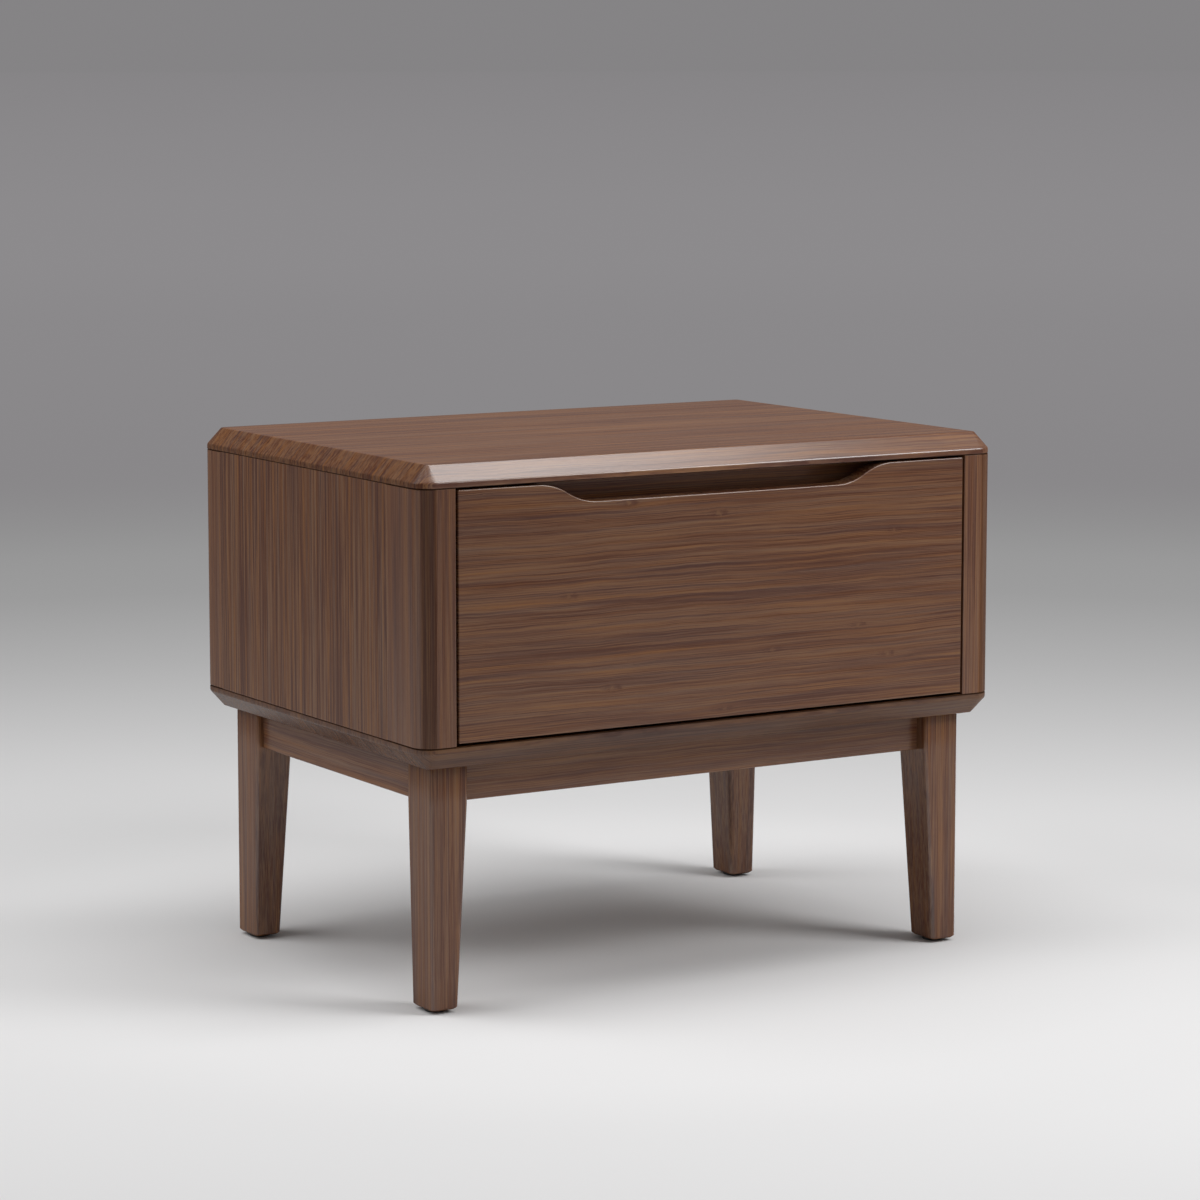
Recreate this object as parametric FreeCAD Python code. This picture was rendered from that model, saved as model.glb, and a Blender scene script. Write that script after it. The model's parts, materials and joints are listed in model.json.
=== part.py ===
"""A nightstand with one drawer, in millimetres.

+Z is up, the drawer faces -Y, and the origin is on the floor under the middle of the body.
"""
import FreeCAD, Part
import os

V = FreeCAD.Vector
ORIGIN = V(0, 0, 0)
ALONG_X = V(1, 0, 0)
ALONG_Y = V(0, 1, 0)
ALONG_Z = V(0, 0, 1)

# Case: two equal boards with the posts and panels between them
width = 610.0
depth = 430.0
slab_thickness = 20.2
slab_band = 5.0
chamfer_inset = 13.5
corner_radius = 16.5
clear_height = 225.0
post_width = 34.5
front_post_depth = 62.0
rear_post_depth = 40.0
side_thickness = 18.0
tongue_thickness = 6.0
tongue_length = 8.0
back_thickness = 6.0
back_inset = 9.0
back_groove = 8.0
back_slab_groove = 5.0
rail_thickness = 18.0
rail_height = 28.0

# Dowels
dowel_radius = 3.0
dowel_in_slab = 10.0
dowel_in_post = 20.0
dowel_edge = 12.5
front_post_dowel_shares = (0.30, 0.78)
rear_post_dowel_shares = (0.35, 0.72)
side_dowel_shares = (0.12, 0.5, 0.88)
rail_dowel_shares = (0.27, 0.73)

# Base: legs, aprons and corner blocks
leg_length = 217.0
glide_thickness = 3.0
leg_inset_x = 21.5
leg_inset_y = 23.5
leg_top_x = 37.5
leg_top_y = 44.0
foot_x = 27.0
foot_y = 37.0
leg_rounding = 4.0
foot_ease = 2.0
apron_height = 35.0
apron_thickness = 20.0
apron_recess_front = 14.0
apron_recess_side = 7.0
tenon_length = 14.5
tenon_thickness = 10.0
tenon_height = 25.0
block_side = 45.0
block_height = 30.0
block_screw_along_share = 0.45
block_screw_in_share = 0.22
block_screw_length = 42.0
block_screw_radius = 2.2
glide_radius = 10.0
glide_stem_radius = 2.5
glide_stem = 14.0

# Drawer front and its scooped pull
front_thickness = 20.0
front_gap_side = 2.3
front_gap_top = 1.9
front_gap_bottom = 2.7
pull_half_top = 188.5
pull_half_bottom = 127.5
pull_depth = 17.5

# Drawer box
box_board = 12.0
box_rabbet = 6.0
box_raise = 10.0
finger_depth = 24.0
box_rear_gap = 45.0
bottom_thickness = 6.0
bottom_groove = 6.0
bottom_raise = 10.0
front_screw_radius = 2.0
front_screw_grip = 14.0
front_screw_x_shares = (-0.62, 0.62)
front_screw_z_shares = (0.25, 0.75)
pan_head_radius = 4.0
pan_head_height = 2.6

# Runners: three pressed steel members on two rows of balls
runner_space = 12.7
runner_half_height = 22.8
runner_gauge = 1.2
runner_end_gap = 2.0
runner_overlap = 16.0
flange_reach = 10.5
running_gap = 0.8
ball_radius = 2.0
ball_gap = 0.3
cage_margin = 15.0
cage_width = 6.0
cage_thickness = 0.8
cage_hole_gap = 0.15
ball_count = 8
runner_screw_radius = 1.75
runner_screw_head = 3.4
runner_screw_head_height = 1.8
runner_screw_length = 14.0
box_screw_length = 9.5
runner_screw_shares = (0.055, 0.36, 0.64, 0.92)

# Battens behind the fixed members
batten_half_height = 25.0
batten_screw_radius = 2.0
batten_screw_head = 3.9
batten_screw_head_height = 2.2
batten_screw_length = 30.0
batten_screw_shares = (0.2, 0.5, 0.8)

# Drawer stops on the bottom board
stop_width = 30.0
stop_length = 20.0
stop_height = 9.0
stop_pad = 2.0
stop_pad_border = 1.5
stop_gap = 0.3
stop_place_share = 0.5

# Small values that several cuts share
overrun = 2.0
recess_width = 0.9
recess_share = 1.1

# Heights and planes that follow from the sizes above
slab_bottom = glide_thickness + leg_length
case_bottom = slab_bottom + slab_thickness
case_top = case_bottom + clear_height
apron_bottom = slab_bottom - apron_height
front_y = -depth / 2
rear_y = depth / 2
opening_half = width / 2 - post_width
side_inner = width / 2 - side_thickness
front_post_back = front_y + front_post_depth
rear_post_front = rear_y - rear_post_depth
back_y = (rear_y - back_inset - back_thickness, rear_y - back_inset)
front_back_y = front_y + front_thickness
front_half = opening_half - front_gap_side
front_bottom = case_bottom + front_gap_bottom
front_top = case_top - front_gap_top
box_half = opening_half - runner_space
box_inner = box_half - box_board
box_bottom = front_bottom + box_raise
box_top = front_top - pull_depth - finger_depth
box_rear = back_y[0] - box_rear_gap
box_y = (front_back_y, box_rear)
panel_z = (box_bottom + bottom_raise, box_bottom + bottom_raise + bottom_thickness)
runner_z = (box_bottom + box_top) / 2
runner_y = (box_y[0] + runner_end_gap, box_y[1] - runner_end_gap)
runner_length = runner_y[1] - runner_y[0]
drawer_travel = runner_length - runner_overlap
middle_half_height = runner_half_height - runner_gauge - 2 * (ball_radius + ball_gap)
drawer_half_height = middle_half_height - runner_gauge - 2 * (ball_radius + ball_gap)


def block(x, y, z):
    """A box between the low and high values of each axis."""
    return Part.makeBox(x[1] - x[0], y[1] - y[0], z[1] - z[0], V(x[0], y[0], z[0]))


def mirror_x(shape):
    """The right-hand copy of a left-hand shape."""
    return shape.mirror(ORIGIN, ALONG_X)


def mirror_y(shape):
    """The rear copy of a front shape."""
    return shape.mirror(ORIGIN, ALONG_Y)


def group(shapes):
    """Separate solids that share one node."""
    return Part.makeCompound(shapes)


def share_of(span, share):
    """The point a share of the way along a (low, high) span."""
    return span[0] + share * (span[1] - span[0])


def turn_to(shape, place, direction):
    """Stand a shape that was made along +Z at a place, along a direction."""
    rotation = FreeCAD.Rotation(ALONG_Z, direction)
    shape.Placement = FreeCAD.Placement(place, rotation)
    return shape


def rounded_wire(x, y, radius, z):
    """A level closed outline: a rectangle with four rounded corners."""
    slant = radius * (1 - 0.5 ** 0.5)
    corners = (
        (x[0], y[0], 1, 1),
        (x[1], y[0], -1, 1),
        (x[1], y[1], -1, -1),
        (x[0], y[1], 1, -1),
    )
    stops = []
    for number, (cx, cy, dx, dy) in enumerate(corners):
        on_x = V(cx + dx * radius, cy, z)
        on_y = V(cx, cy + dy * radius, z)
        middle = V(cx + dx * slant, cy + dy * slant, z)
        first, last = (on_y, on_x) if number % 2 == 0 else (on_x, on_y)
        stops.append((first, middle, last))
    edges = []
    for number, (first, middle, last) in enumerate(stops):
        following = stops[(number + 1) % len(stops)][0]
        edges.append(Part.Arc(first, middle, last).toShape())
        edges.append(Part.LineSegment(last, following).toShape())
    return Part.Wire(edges)


def screw_at(plain, radius, face, head_height, place, direction):
    """A screw and the plain shape that drills its hole, both put in their place."""
    finished = cross_recess(plain, radius, face, head_height)
    return turn_to(finished, place, direction), turn_to(plain, place, direction)


def countersunk_screw(radius, head_radius, head_height, length, place, direction):
    """A screw whose flat head is flush with the face it is driven into."""
    head = Part.makeCone(head_radius, radius, head_height)
    plain = head.fuse(Part.makeCylinder(radius, length)).removeSplitter()
    return screw_at(plain, radius, 0, head_height, place, direction)


def pan_screw(radius, head_radius, head_height, length, place, direction):
    """A screw whose rounded head stands on the face it is driven into."""
    head = Part.makeCylinder(head_radius, head_height, V(0, 0, -head_height))
    rim = [edge for edge in head.Edges if edge.BoundBox.ZMax < -head_height / 2]
    head = head.makeFillet(head_height / 2, rim)
    plain = head.fuse(Part.makeCylinder(radius, length)).removeSplitter()
    return screw_at(plain, radius, -head_height, head_height, place, direction)


def cross_recess(screw, radius, face, head_height):
    """Cut the driver's cross into a head whose outer face is at z = face."""
    arm = radius * recess_share
    z = (face - overrun, face + head_height / 2)
    slot = (-recess_width / 2, recess_width / 2)
    long_slot = (-arm, arm)
    return screw.cut(block(long_slot, slot, z)).cut(block(slot, long_slot, z))


def bodies(screws):
    """The finished screws of a list of pairs."""
    return [pair[0] for pair in screws]


def holes(screws):
    """The plain shapes of a list of pairs, which cut the holes."""
    return [pair[1] for pair in screws]


# Dowels

def upright_dowel(x, y, joint, side):
    """A dowel across a level joint: side is +1 where the slab lies above."""
    low = joint - (dowel_in_post if side > 0 else dowel_in_slab)
    length = dowel_in_post + dowel_in_slab
    return Part.makeCylinder(dowel_radius, length, V(x, y, low))


def left_dowels():
    """The dowels of the left half of the case."""
    post_x = -width / 2 + post_width / 2
    places = []
    front_span = (front_y, front_post_back)
    rear_span = (rear_post_front, rear_y)
    side_span = (front_post_back, rear_post_front)
    for share in front_post_dowel_shares:
        places.append((post_x, share_of(front_span, share)))
    for share in rear_post_dowel_shares:
        places.append((post_x, share_of(rear_span, share)))
    for share in side_dowel_shares:
        places.append((-width / 2 + dowel_edge, share_of(side_span, share)))
    dowels = []
    for x, y in places:
        dowels.append(upright_dowel(x, y, case_top, 1))
        dowels.append(upright_dowel(x, y, case_bottom, -1))
    rail_y = front_post_back - rail_thickness / 2
    for share in rail_dowel_shares:
        z = share_of((case_top - rail_height, case_top), share)
        start = V(-opening_half - dowel_in_post, rail_y, z)
        dowels.append(Part.makeCylinder(dowel_radius, 2 * dowel_in_post, start, ALONG_X))
    return dowels


# Case

def slab():
    """One board with its joint face on z = 0 and its chamfered face above."""
    outer = ((-width / 2, width / 2), (front_y, rear_y))
    inner = []
    for low, high in outer:
        inner.append((low + chamfer_inset, high - chamfer_inset))
    band = Part.Face(rounded_wire(*outer, corner_radius, 0)).extrude(V(0, 0, slab_band))
    edge = rounded_wire(*outer, corner_radius, slab_band)
    crown = rounded_wire(*inner, corner_radius - chamfer_inset, slab_thickness)
    slope = Part.makeLoft([edge, crown], True, True)
    return band.fuse(slope).removeSplitter()


def back_panel():
    """The thin panel in the grooves of the rear posts and of both boards."""
    half = opening_half + back_groove
    z = (case_bottom - back_slab_groove, case_top + back_slab_groove)
    return block((-half, half), back_y, z)


def post(post_depth):
    """A front-left corner post with its rounded outer corner."""
    x = (-width / 2, -opening_half)
    y = (front_y, front_y + post_depth)
    slant = corner_radius * (1 - 0.5 ** 0.5)
    arc_start = V(x[0], y[0] + corner_radius, case_bottom)
    arc_middle = V(x[0] + slant, y[0] + slant, case_bottom)
    arc_end = V(x[0] + corner_radius, y[0], case_bottom)
    points = [arc_end, V(x[1], y[0], case_bottom), V(x[1], y[1], case_bottom),
              V(x[0], y[1], case_bottom), arc_start]
    edges = [Part.Arc(arc_start, arc_middle, arc_end).toShape()]
    for first, last in zip(points, points[1:]):
        edges.append(Part.LineSegment(first, last).toShape())
    return Part.Face(Part.Wire(edges)).extrude(V(0, 0, clear_height))


def side_panel():
    """The left side panel with a tongue at each end."""
    z = (case_bottom, case_top)
    board = block((-width / 2, -side_inner), (front_post_back, rear_post_front), z)
    middle = -width / 2 + side_thickness / 2
    tongue_x = (middle - tongue_thickness / 2, middle + tongue_thickness / 2)
    tongue_y = (front_post_back - tongue_length, rear_post_front + tongue_length)
    return board.fuse(block(tongue_x, tongue_y, z)).removeSplitter()


def front_rail():
    """The cross rail behind the pull, between the front posts."""
    y = (front_post_back - rail_thickness, front_post_back)
    return block((-opening_half, opening_half), y, (case_top - rail_height, case_top))


# Base

def leg():
    """The front-left leg: straight at the aprons, then tapering on its two inner faces."""
    x0 = -width / 2 + leg_inset_x
    y0 = front_y + leg_inset_y
    top = ((x0, x0 + leg_top_x), (y0, y0 + leg_top_y))
    foot = ((x0, x0 + foot_x), (y0, y0 + foot_y))
    eased = ((x0 + foot_ease, x0 + foot_x - foot_ease), (y0 + foot_ease, y0 + foot_y - foot_ease))
    sole = rounded_wire(*eased, leg_rounding, glide_thickness)
    low = rounded_wire(*foot, leg_rounding, glide_thickness + foot_ease)
    knee = rounded_wire(*top, leg_rounding, apron_bottom)
    head = rounded_wire(*top, leg_rounding, slab_bottom)
    return Part.makeLoft([sole, low, knee, head], True, True)


def glide():
    """The front-left glide: a disc under the foot on a short stem."""
    x = -width / 2 + leg_inset_x + foot_x / 2
    y = front_y + leg_inset_y + foot_y / 2
    disc = Part.makeCylinder(glide_radius, glide_thickness, V(x, y, 0))
    stem = Part.makeCylinder(glide_stem_radius, glide_thickness + glide_stem, V(x, y, 0))
    return disc.fuse(stem).removeSplitter()


def apron_planes():
    """The outer faces of the front and left aprons."""
    y = front_y + leg_inset_y + apron_recess_front
    x = -width / 2 + leg_inset_x + apron_recess_side
    return x, y


def tenoned(board, span, across, along_x):
    """Add a centred tenon past both ends of an apron."""
    middle = (across[0] + across[1]) / 2
    thin = (middle - tenon_thickness / 2, middle + tenon_thickness / 2)
    long_span = (span[0] - tenon_length, span[1] + tenon_length)
    centre = slab_bottom - apron_height / 2
    z = (centre - tenon_height / 2, centre + tenon_height / 2)
    tenon = block(long_span, thin, z) if along_x else block(thin, long_span, z)
    return board.fuse(tenon).removeSplitter()


def apron_front():
    """The front apron between the two front legs."""
    y0 = apron_planes()[1]
    reach = width / 2 - leg_inset_x - leg_top_x
    span = (-reach, reach)
    across = (y0, y0 + apron_thickness)
    board = block(span, across, (apron_bottom, slab_bottom))
    return tenoned(board, span, across, True)


def apron_left():
    """The left apron between the front and rear legs."""
    x0 = apron_planes()[0]
    reach = depth / 2 - leg_inset_y - leg_top_y
    span = (-reach, reach)
    across = (x0, x0 + apron_thickness)
    board = block(across, span, (apron_bottom, slab_bottom))
    return tenoned(board, span, across, False)


def corner_block():
    """The front-left block: glued into the corner of the frame round the leg."""
    x0, y0 = apron_planes()
    inner_x = x0 + apron_thickness
    inner_y = y0 + apron_thickness
    leg_x = -width / 2 + leg_inset_x + leg_top_x
    leg_y = front_y + leg_inset_y + leg_top_y
    z = slab_bottom - block_height
    points = [V(leg_x, inner_y, z), V(leg_x + block_side, inner_y, z),
              V(inner_x, leg_y + block_side, z), V(inner_x, leg_y, z), V(leg_x, leg_y, z)]
    outline = Part.makePolygon(points + points[:1])
    return Part.Face(outline).extrude(V(0, 0, block_height))


def corner_block_screws():
    """The two screws that hold the front-left block up to the bottom board."""
    x0, y0 = apron_planes()
    leg_x = -width / 2 + leg_inset_x + leg_top_x
    leg_y = front_y + leg_inset_y + leg_top_y
    along = block_side * block_screw_along_share
    inward = block_side * block_screw_in_share
    places = (
        (leg_x + along, y0 + apron_thickness + inward),
        (x0 + apron_thickness + inward, leg_y + along),
    )
    screws = []
    for x, y in places:
        place = V(x, y, slab_bottom - block_height)
        screws.append(countersunk_screw(block_screw_radius, 2 * block_screw_radius,
                                        block_screw_radius, block_screw_length, place, ALONG_Z))
    return screws


# Drawer

def drawer_front():
    """The drawer front with the scooped pull in its top edge."""
    z_low = front_top - pull_depth
    z_mid = front_top - pull_depth / 2
    run = pull_half_top - pull_half_bottom
    bend = (run ** 2 + pull_depth ** 2) / (4 * pull_depth)
    sag_z = bend - (bend ** 2 - (run / 4) ** 2) ** 0.5
    middle_x = (pull_half_top + pull_half_bottom) / 2

    def at(x, z):
        return V(x, front_y, z)

    def scoop(side):
        """The two arcs of one end of the pull, from the top edge down."""
        outer = Part.Arc(at(side * pull_half_top, front_top),
                         at(side * (pull_half_top - run / 4), front_top - sag_z),
                         at(side * middle_x, z_mid))
        inner = Part.Arc(at(side * middle_x, z_mid),
                         at(side * (pull_half_bottom + run / 4), z_low + sag_z),
                         at(side * pull_half_bottom, z_low))
        return [outer.toShape(), inner.toShape()]

    def line(first, last):
        return Part.LineSegment(first, last).toShape()

    edges = scoop(-1) + scoop(1)
    edges.append(line(at(-pull_half_bottom, z_low), at(pull_half_bottom, z_low)))
    edges.append(line(at(pull_half_top, front_top), at(front_half, front_top)))
    edges.append(line(at(front_half, front_top), at(front_half, front_bottom)))
    edges.append(line(at(front_half, front_bottom), at(-front_half, front_bottom)))
    edges.append(line(at(-front_half, front_bottom), at(-front_half, front_top)))
    edges.append(line(at(-front_half, front_top), at(-pull_half_top, front_top)))
    outline = Part.Wire(Part.__sortEdges__(edges))
    return Part.Face(outline).extrude(V(0, front_thickness, 0))


def box_end(y_low):
    """The box front or box back, let into the rabbets of both sides."""
    half = box_inner + box_rabbet
    return block((-half, half), (y_low, y_low + box_board), (box_bottom, box_top))


def box_side():
    """The left side of the drawer box."""
    return block((-box_half, -box_inner), box_y, (box_bottom, box_top))


def drawer_bottom():
    """The bottom panel in the grooves of the box."""
    half = box_inner + bottom_groove
    y = (box_y[0] + box_board - bottom_groove, box_y[1] - box_board + bottom_groove)
    return block((-half, half), y, panel_z)


def drawer_front_screws():
    """The screws that hold the drawer front to the box front."""
    screws = []
    for x_share in front_screw_x_shares:
        for z_share in front_screw_z_shares:
            z = share_of((box_bottom, box_top), z_share)
            place = V(box_inner * x_share, front_back_y + box_board, z)
            screws.append(pan_screw(front_screw_radius, pan_head_radius, pan_head_height,
                                    box_board + front_screw_grip, place, -ALONG_Y))
    return screws


# Runners, drawn for the left side

def channel(x_web, x_tip, half_height):
    """A pressed channel along Y with its web at x_web and its flanges reaching to x_tip."""
    side = 1 if x_tip > x_web else -1
    x = sorted((x_web, x_tip))
    hollow_x = sorted((x_web + side * runner_gauge, x_tip + side * overrun))
    z = (runner_z - half_height, runner_z + half_height)
    inner_z = (z[0] + runner_gauge, z[1] - runner_gauge)
    hollow_y = (runner_y[0] - overrun, runner_y[1] + overrun)
    return block(x, runner_y, z).cut(block(hollow_x, hollow_y, inner_z))


def fixed_member():
    """The member on the case."""
    return channel(-opening_half, -opening_half + flange_reach, runner_half_height)


def middle_member():
    """The member between the two rows of balls."""
    x = -opening_half + runner_gauge + running_gap
    return channel(x, x + flange_reach - runner_gauge, middle_half_height)


def drawer_member():
    """The member on the drawer box."""
    tip = -opening_half + 2 * (runner_gauge + running_gap)
    return channel(-box_half, tip, drawer_half_height)


def cage_run():
    """Where the ball cages lie along the runner at rest."""
    length = runner_length - drawer_travel / 2 - cage_margin
    middle = share_of(runner_y, 0.5)
    return middle - length / 2, middle + length / 2


def ball_places(half_height):
    """The centres of the balls that roll inside flanges at this half height."""
    y = cage_run()
    x = -opening_half + runner_space / 2
    offset = half_height - runner_gauge - ball_gap - ball_radius
    places = []
    for side in (-1, 1):
        for number in range(ball_count):
            along = share_of(y, (number + 0.5) / ball_count)
            places.append(V(x, along, runner_z + side * offset))
    return places


def balls(half_height):
    """The two rows of balls inside flanges at this half height."""
    return [Part.makeSphere(ball_radius, place) for place in ball_places(half_height)]


def cages(half_height):
    """The two strips that keep the balls apart."""
    x = -opening_half + runner_space / 2
    offset = half_height - runner_gauge - ball_gap - ball_radius
    hole_radius = ball_radius + cage_hole_gap
    strips = []
    for side in (-1, 1):
        z = runner_z + side * offset
        strip = block((x - cage_width / 2, x + cage_width / 2), cage_run(),
                      (z - cage_thickness / 2, z + cage_thickness / 2))
        for place in ball_places(half_height):
            hole = Part.makeCylinder(hole_radius, 2 * overrun,
                                     V(place.x, place.y, z - overrun), ALONG_Z)
            strip = strip.cut(hole)
        strips.append(strip)
    return strips


def runner_screws(x, direction, length):
    """A row of flat-headed screws through a member's web."""
    screws = []
    for share in runner_screw_shares:
        place = V(x, share_of(runner_y, share), runner_z)
        screws.append(countersunk_screw(runner_screw_radius, runner_screw_head,
                                        runner_screw_head_height, length, place, direction))
    return screws


def batten():
    """The left batten, which brings the runner out to the posts' inner faces."""
    z = (runner_z - batten_half_height, runner_z + batten_half_height)
    return block((-side_inner, -opening_half), (front_post_back, rear_post_front), z)


def batten_screws():
    """The screws that hold the left batten to the side panel, behind the runner."""
    screws = []
    for share in batten_screw_shares:
        place = V(-opening_half, share_of((front_post_back, rear_post_front), share), runner_z)
        screws.append(countersunk_screw(batten_screw_radius, batten_screw_head,
                                        batten_screw_head_height, batten_screw_length,
                                        place, -ALONG_X))
    return screws


# Drawer stops

def stop():
    """The left stop block, glued to the bottom board behind the drawer front."""
    middle = -opening_half * stop_place_share
    y0 = front_back_y + stop_gap + stop_pad
    x = (middle - stop_width / 2, middle + stop_width / 2)
    return block(x, (y0, y0 + stop_length), (case_bottom, case_bottom + stop_height))


def stop_rubber():
    """The rubber pad on the front of the left stop."""
    middle = -opening_half * stop_place_share
    half = stop_width / 2 - stop_pad_border
    y0 = front_back_y + stop_gap
    z = (case_bottom + stop_pad_border, case_bottom + stop_height - stop_pad_border / 2)
    return block((middle - half, middle + half), (y0, y0 + stop_pad), z)


# Assembly: fasteners first, because the pieces are drilled with them

def both_sides(shapes):
    """A node that holds left-hand solids and their right-hand copies."""
    return group(shapes + [mirror_x(shape) for shape in shapes])


def front_and_rear(shapes):
    """Front solids and their rear copies."""
    return shapes + [mirror_y(shape) for shape in shapes]


left_pegs = left_dowels()
pegs = both_sides(left_pegs)
block_screws = corner_block_screws()
base_holes = both_sides(front_and_rear(holes(block_screws)))
case_screws = runner_screws(-opening_half + runner_gauge, -ALONG_X, runner_screw_length)
box_screws = runner_screws(-box_half - runner_gauge, ALONG_X, box_screw_length)
side_screws = batten_screws()
front_screws = drawer_front_screws()
front_holes = group(holes(front_screws))
case_holes = group(left_pegs + holes(case_screws) + holes(side_screws))
box_holes = group(holes(box_screws))

nodes = {}
top = slab()
top.translate(V(0, 0, case_top))
bottom = slab().mirror(ORIGIN, ALONG_Z)
bottom.translate(V(0, 0, case_bottom))
panel = back_panel()
nodes["top_panel"] = top.cut(panel).cut(pegs)
nodes["bottom_panel"] = bottom.cut(panel).cut(pegs).cut(base_holes)
nodes["back_panel"] = panel
nodes["front_rail"] = front_rail().cut(pegs)

tongues = side_panel()
rabbets = group([box_end(box_y[0]), box_end(box_y[1] - box_board)])
box_floor = drawer_bottom()
nodes["drawer_front"] = drawer_front().cut(front_holes)
nodes["drawer_box_front"] = box_end(box_y[0]).cut(box_floor).cut(front_holes)
nodes["drawer_box_back"] = box_end(box_y[1] - box_board).cut(box_floor)
nodes["drawer_bottom"] = box_floor

left_pieces = {
    "front_post": post(front_post_depth).cut(tongues).cut(case_holes),
    "rear_post": mirror_y(post(rear_post_depth)).cut(tongues).cut(panel).cut(case_holes),
    "side_panel": tongues.cut(case_holes),
    "runner_batten": batten().cut(case_holes),
    "runner_fixed": fixed_member().cut(case_holes),
    "runner_middle": middle_member(),
    "runner_drawer": drawer_member().cut(box_holes),
    "drawer_side": box_side().cut(rabbets).cut(box_floor).cut(box_holes),
    "drawer_stop": stop(),
}
for name, shape in left_pieces.items():
    nodes[name + "_left"] = shape
    nodes[name + "_right"] = mirror_x(shape)

nodes["apron_front"] = apron_front()
nodes["apron_rear"] = mirror_y(nodes["apron_front"])
nodes["apron_left"] = apron_left()
nodes["apron_right"] = mirror_x(nodes["apron_left"])
front_left = {
    "leg": leg().cut(nodes["apron_front"]).cut(nodes["apron_left"]).cut(glide()),
    "corner_block": corner_block().cut(group(holes(block_screws))),
    "glide": glide(),
}
for name, shape in front_left.items():
    nodes[name + "_front_left"] = shape
    nodes[name + "_front_right"] = mirror_x(shape)
    nodes[name + "_rear_left"] = mirror_y(shape)
    nodes[name + "_rear_right"] = mirror_x(mirror_y(shape))

nodes["case_dowels"] = pegs
nodes["base_screws"] = both_sides(front_and_rear(bodies(block_screws)))
nodes["drawer_front_screws"] = group(bodies(front_screws))
nodes["batten_screws"] = both_sides(bodies(side_screws))
nodes["runner_case_screws"] = both_sides(bodies(case_screws))
nodes["runner_box_screws"] = both_sides(bodies(box_screws))
nodes["outer_balls"] = both_sides(balls(runner_half_height))
nodes["outer_ball_cages"] = both_sides(cages(runner_half_height))
nodes["inner_balls"] = both_sides(balls(middle_half_height))
nodes["inner_ball_cages"] = both_sides(cages(middle_half_height))
nodes["stop_pads"] = both_sides([stop_rubber()])

os.makedirs("parts", exist_ok=True)
for name, shape in nodes.items():
    shape.exportStep("parts/" + name + ".step")
    print(name, "solids", len(shape.Solids), "valid", shape.isValid(), "volume", round(shape.Volume))
print("nodes", len(nodes), "height", case_top + slab_thickness, "travel", drawer_travel)
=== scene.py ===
import json
import math

import bmesh
import bpy
from bpy.props import FloatProperty, FloatVectorProperty, IntProperty, PointerProperty
from mathutils import Matrix, Vector
from mathutils.bvhtree import BVHTree


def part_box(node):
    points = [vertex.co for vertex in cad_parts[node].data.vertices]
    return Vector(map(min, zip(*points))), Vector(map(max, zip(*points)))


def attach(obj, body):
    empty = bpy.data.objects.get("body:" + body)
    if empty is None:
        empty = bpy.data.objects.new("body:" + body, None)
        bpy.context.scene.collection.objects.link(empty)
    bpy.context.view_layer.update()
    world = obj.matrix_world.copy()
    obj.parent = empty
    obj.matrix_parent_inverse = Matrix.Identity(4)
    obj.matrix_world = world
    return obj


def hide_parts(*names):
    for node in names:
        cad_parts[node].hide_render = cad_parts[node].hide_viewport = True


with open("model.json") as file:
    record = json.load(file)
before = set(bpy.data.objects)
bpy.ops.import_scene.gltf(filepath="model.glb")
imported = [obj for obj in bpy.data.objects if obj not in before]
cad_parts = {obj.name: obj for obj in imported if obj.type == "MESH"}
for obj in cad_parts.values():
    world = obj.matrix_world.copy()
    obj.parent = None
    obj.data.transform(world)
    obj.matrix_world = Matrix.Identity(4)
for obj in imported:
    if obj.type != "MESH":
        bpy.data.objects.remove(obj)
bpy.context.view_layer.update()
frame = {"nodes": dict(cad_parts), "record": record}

bl_info = {
    "name": "Bedside cabinet",
    "version": (1, 0, 0),
    "blender": (4, 5, 0),
    "location": "3D View > Sidebar > Cabinet",
    "description": "Dresses the packed nightstand: eased walnut boards, drawer box, runners, fixings and studio",
    "category": "Object",
}

MM = 0.001


# Sizes and colours that a user would change

def length(name, text, value):
    return FloatProperty(name=name, description=text, default=value, min=0.0, precision=5, subtype="DISTANCE",
                         unit="LENGTH")


def number(name, text, value, high=1.0):
    return FloatProperty(name=name, description=text, default=value, min=0.0, max=high)


def count(name, text, value, low, high):
    return IntProperty(name=name, description=text, default=value, min=low, max=high)


def power(name, text, value):
    return FloatProperty(name=name, description=text, default=value, min=0.0, unit="POWER")


def colour(name, text, value):
    return FloatVectorProperty(name=name, description=text, default=value, min=0.0, max=1.0, size=3, subtype="COLOR")


class BoardSettings(bpy.types.PropertyGroup):
    easing: length("Edge easing", "Width of the rounding sanded on an edge that shows", 1.1 * MM)
    joint_easing: length("Joint easing", "Width of the fine groove left where two boards meet upright", 0.25 * MM)
    level_joint: length("Level joint easing", "Width of the groove where a board lies on a post or panel", 1.0 * MM)
    box_easing: length("Box easing", "Width of the rounding on the drawer box and the blocks", 0.6 * MM)
    easing_steps: count("Easing steps", "Faces across a rounded edge", 3, 1, 8)
    hole_size: length("Hole size", "A rim no larger than this is a bored hole and stays sharp", 14 * MM)


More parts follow.
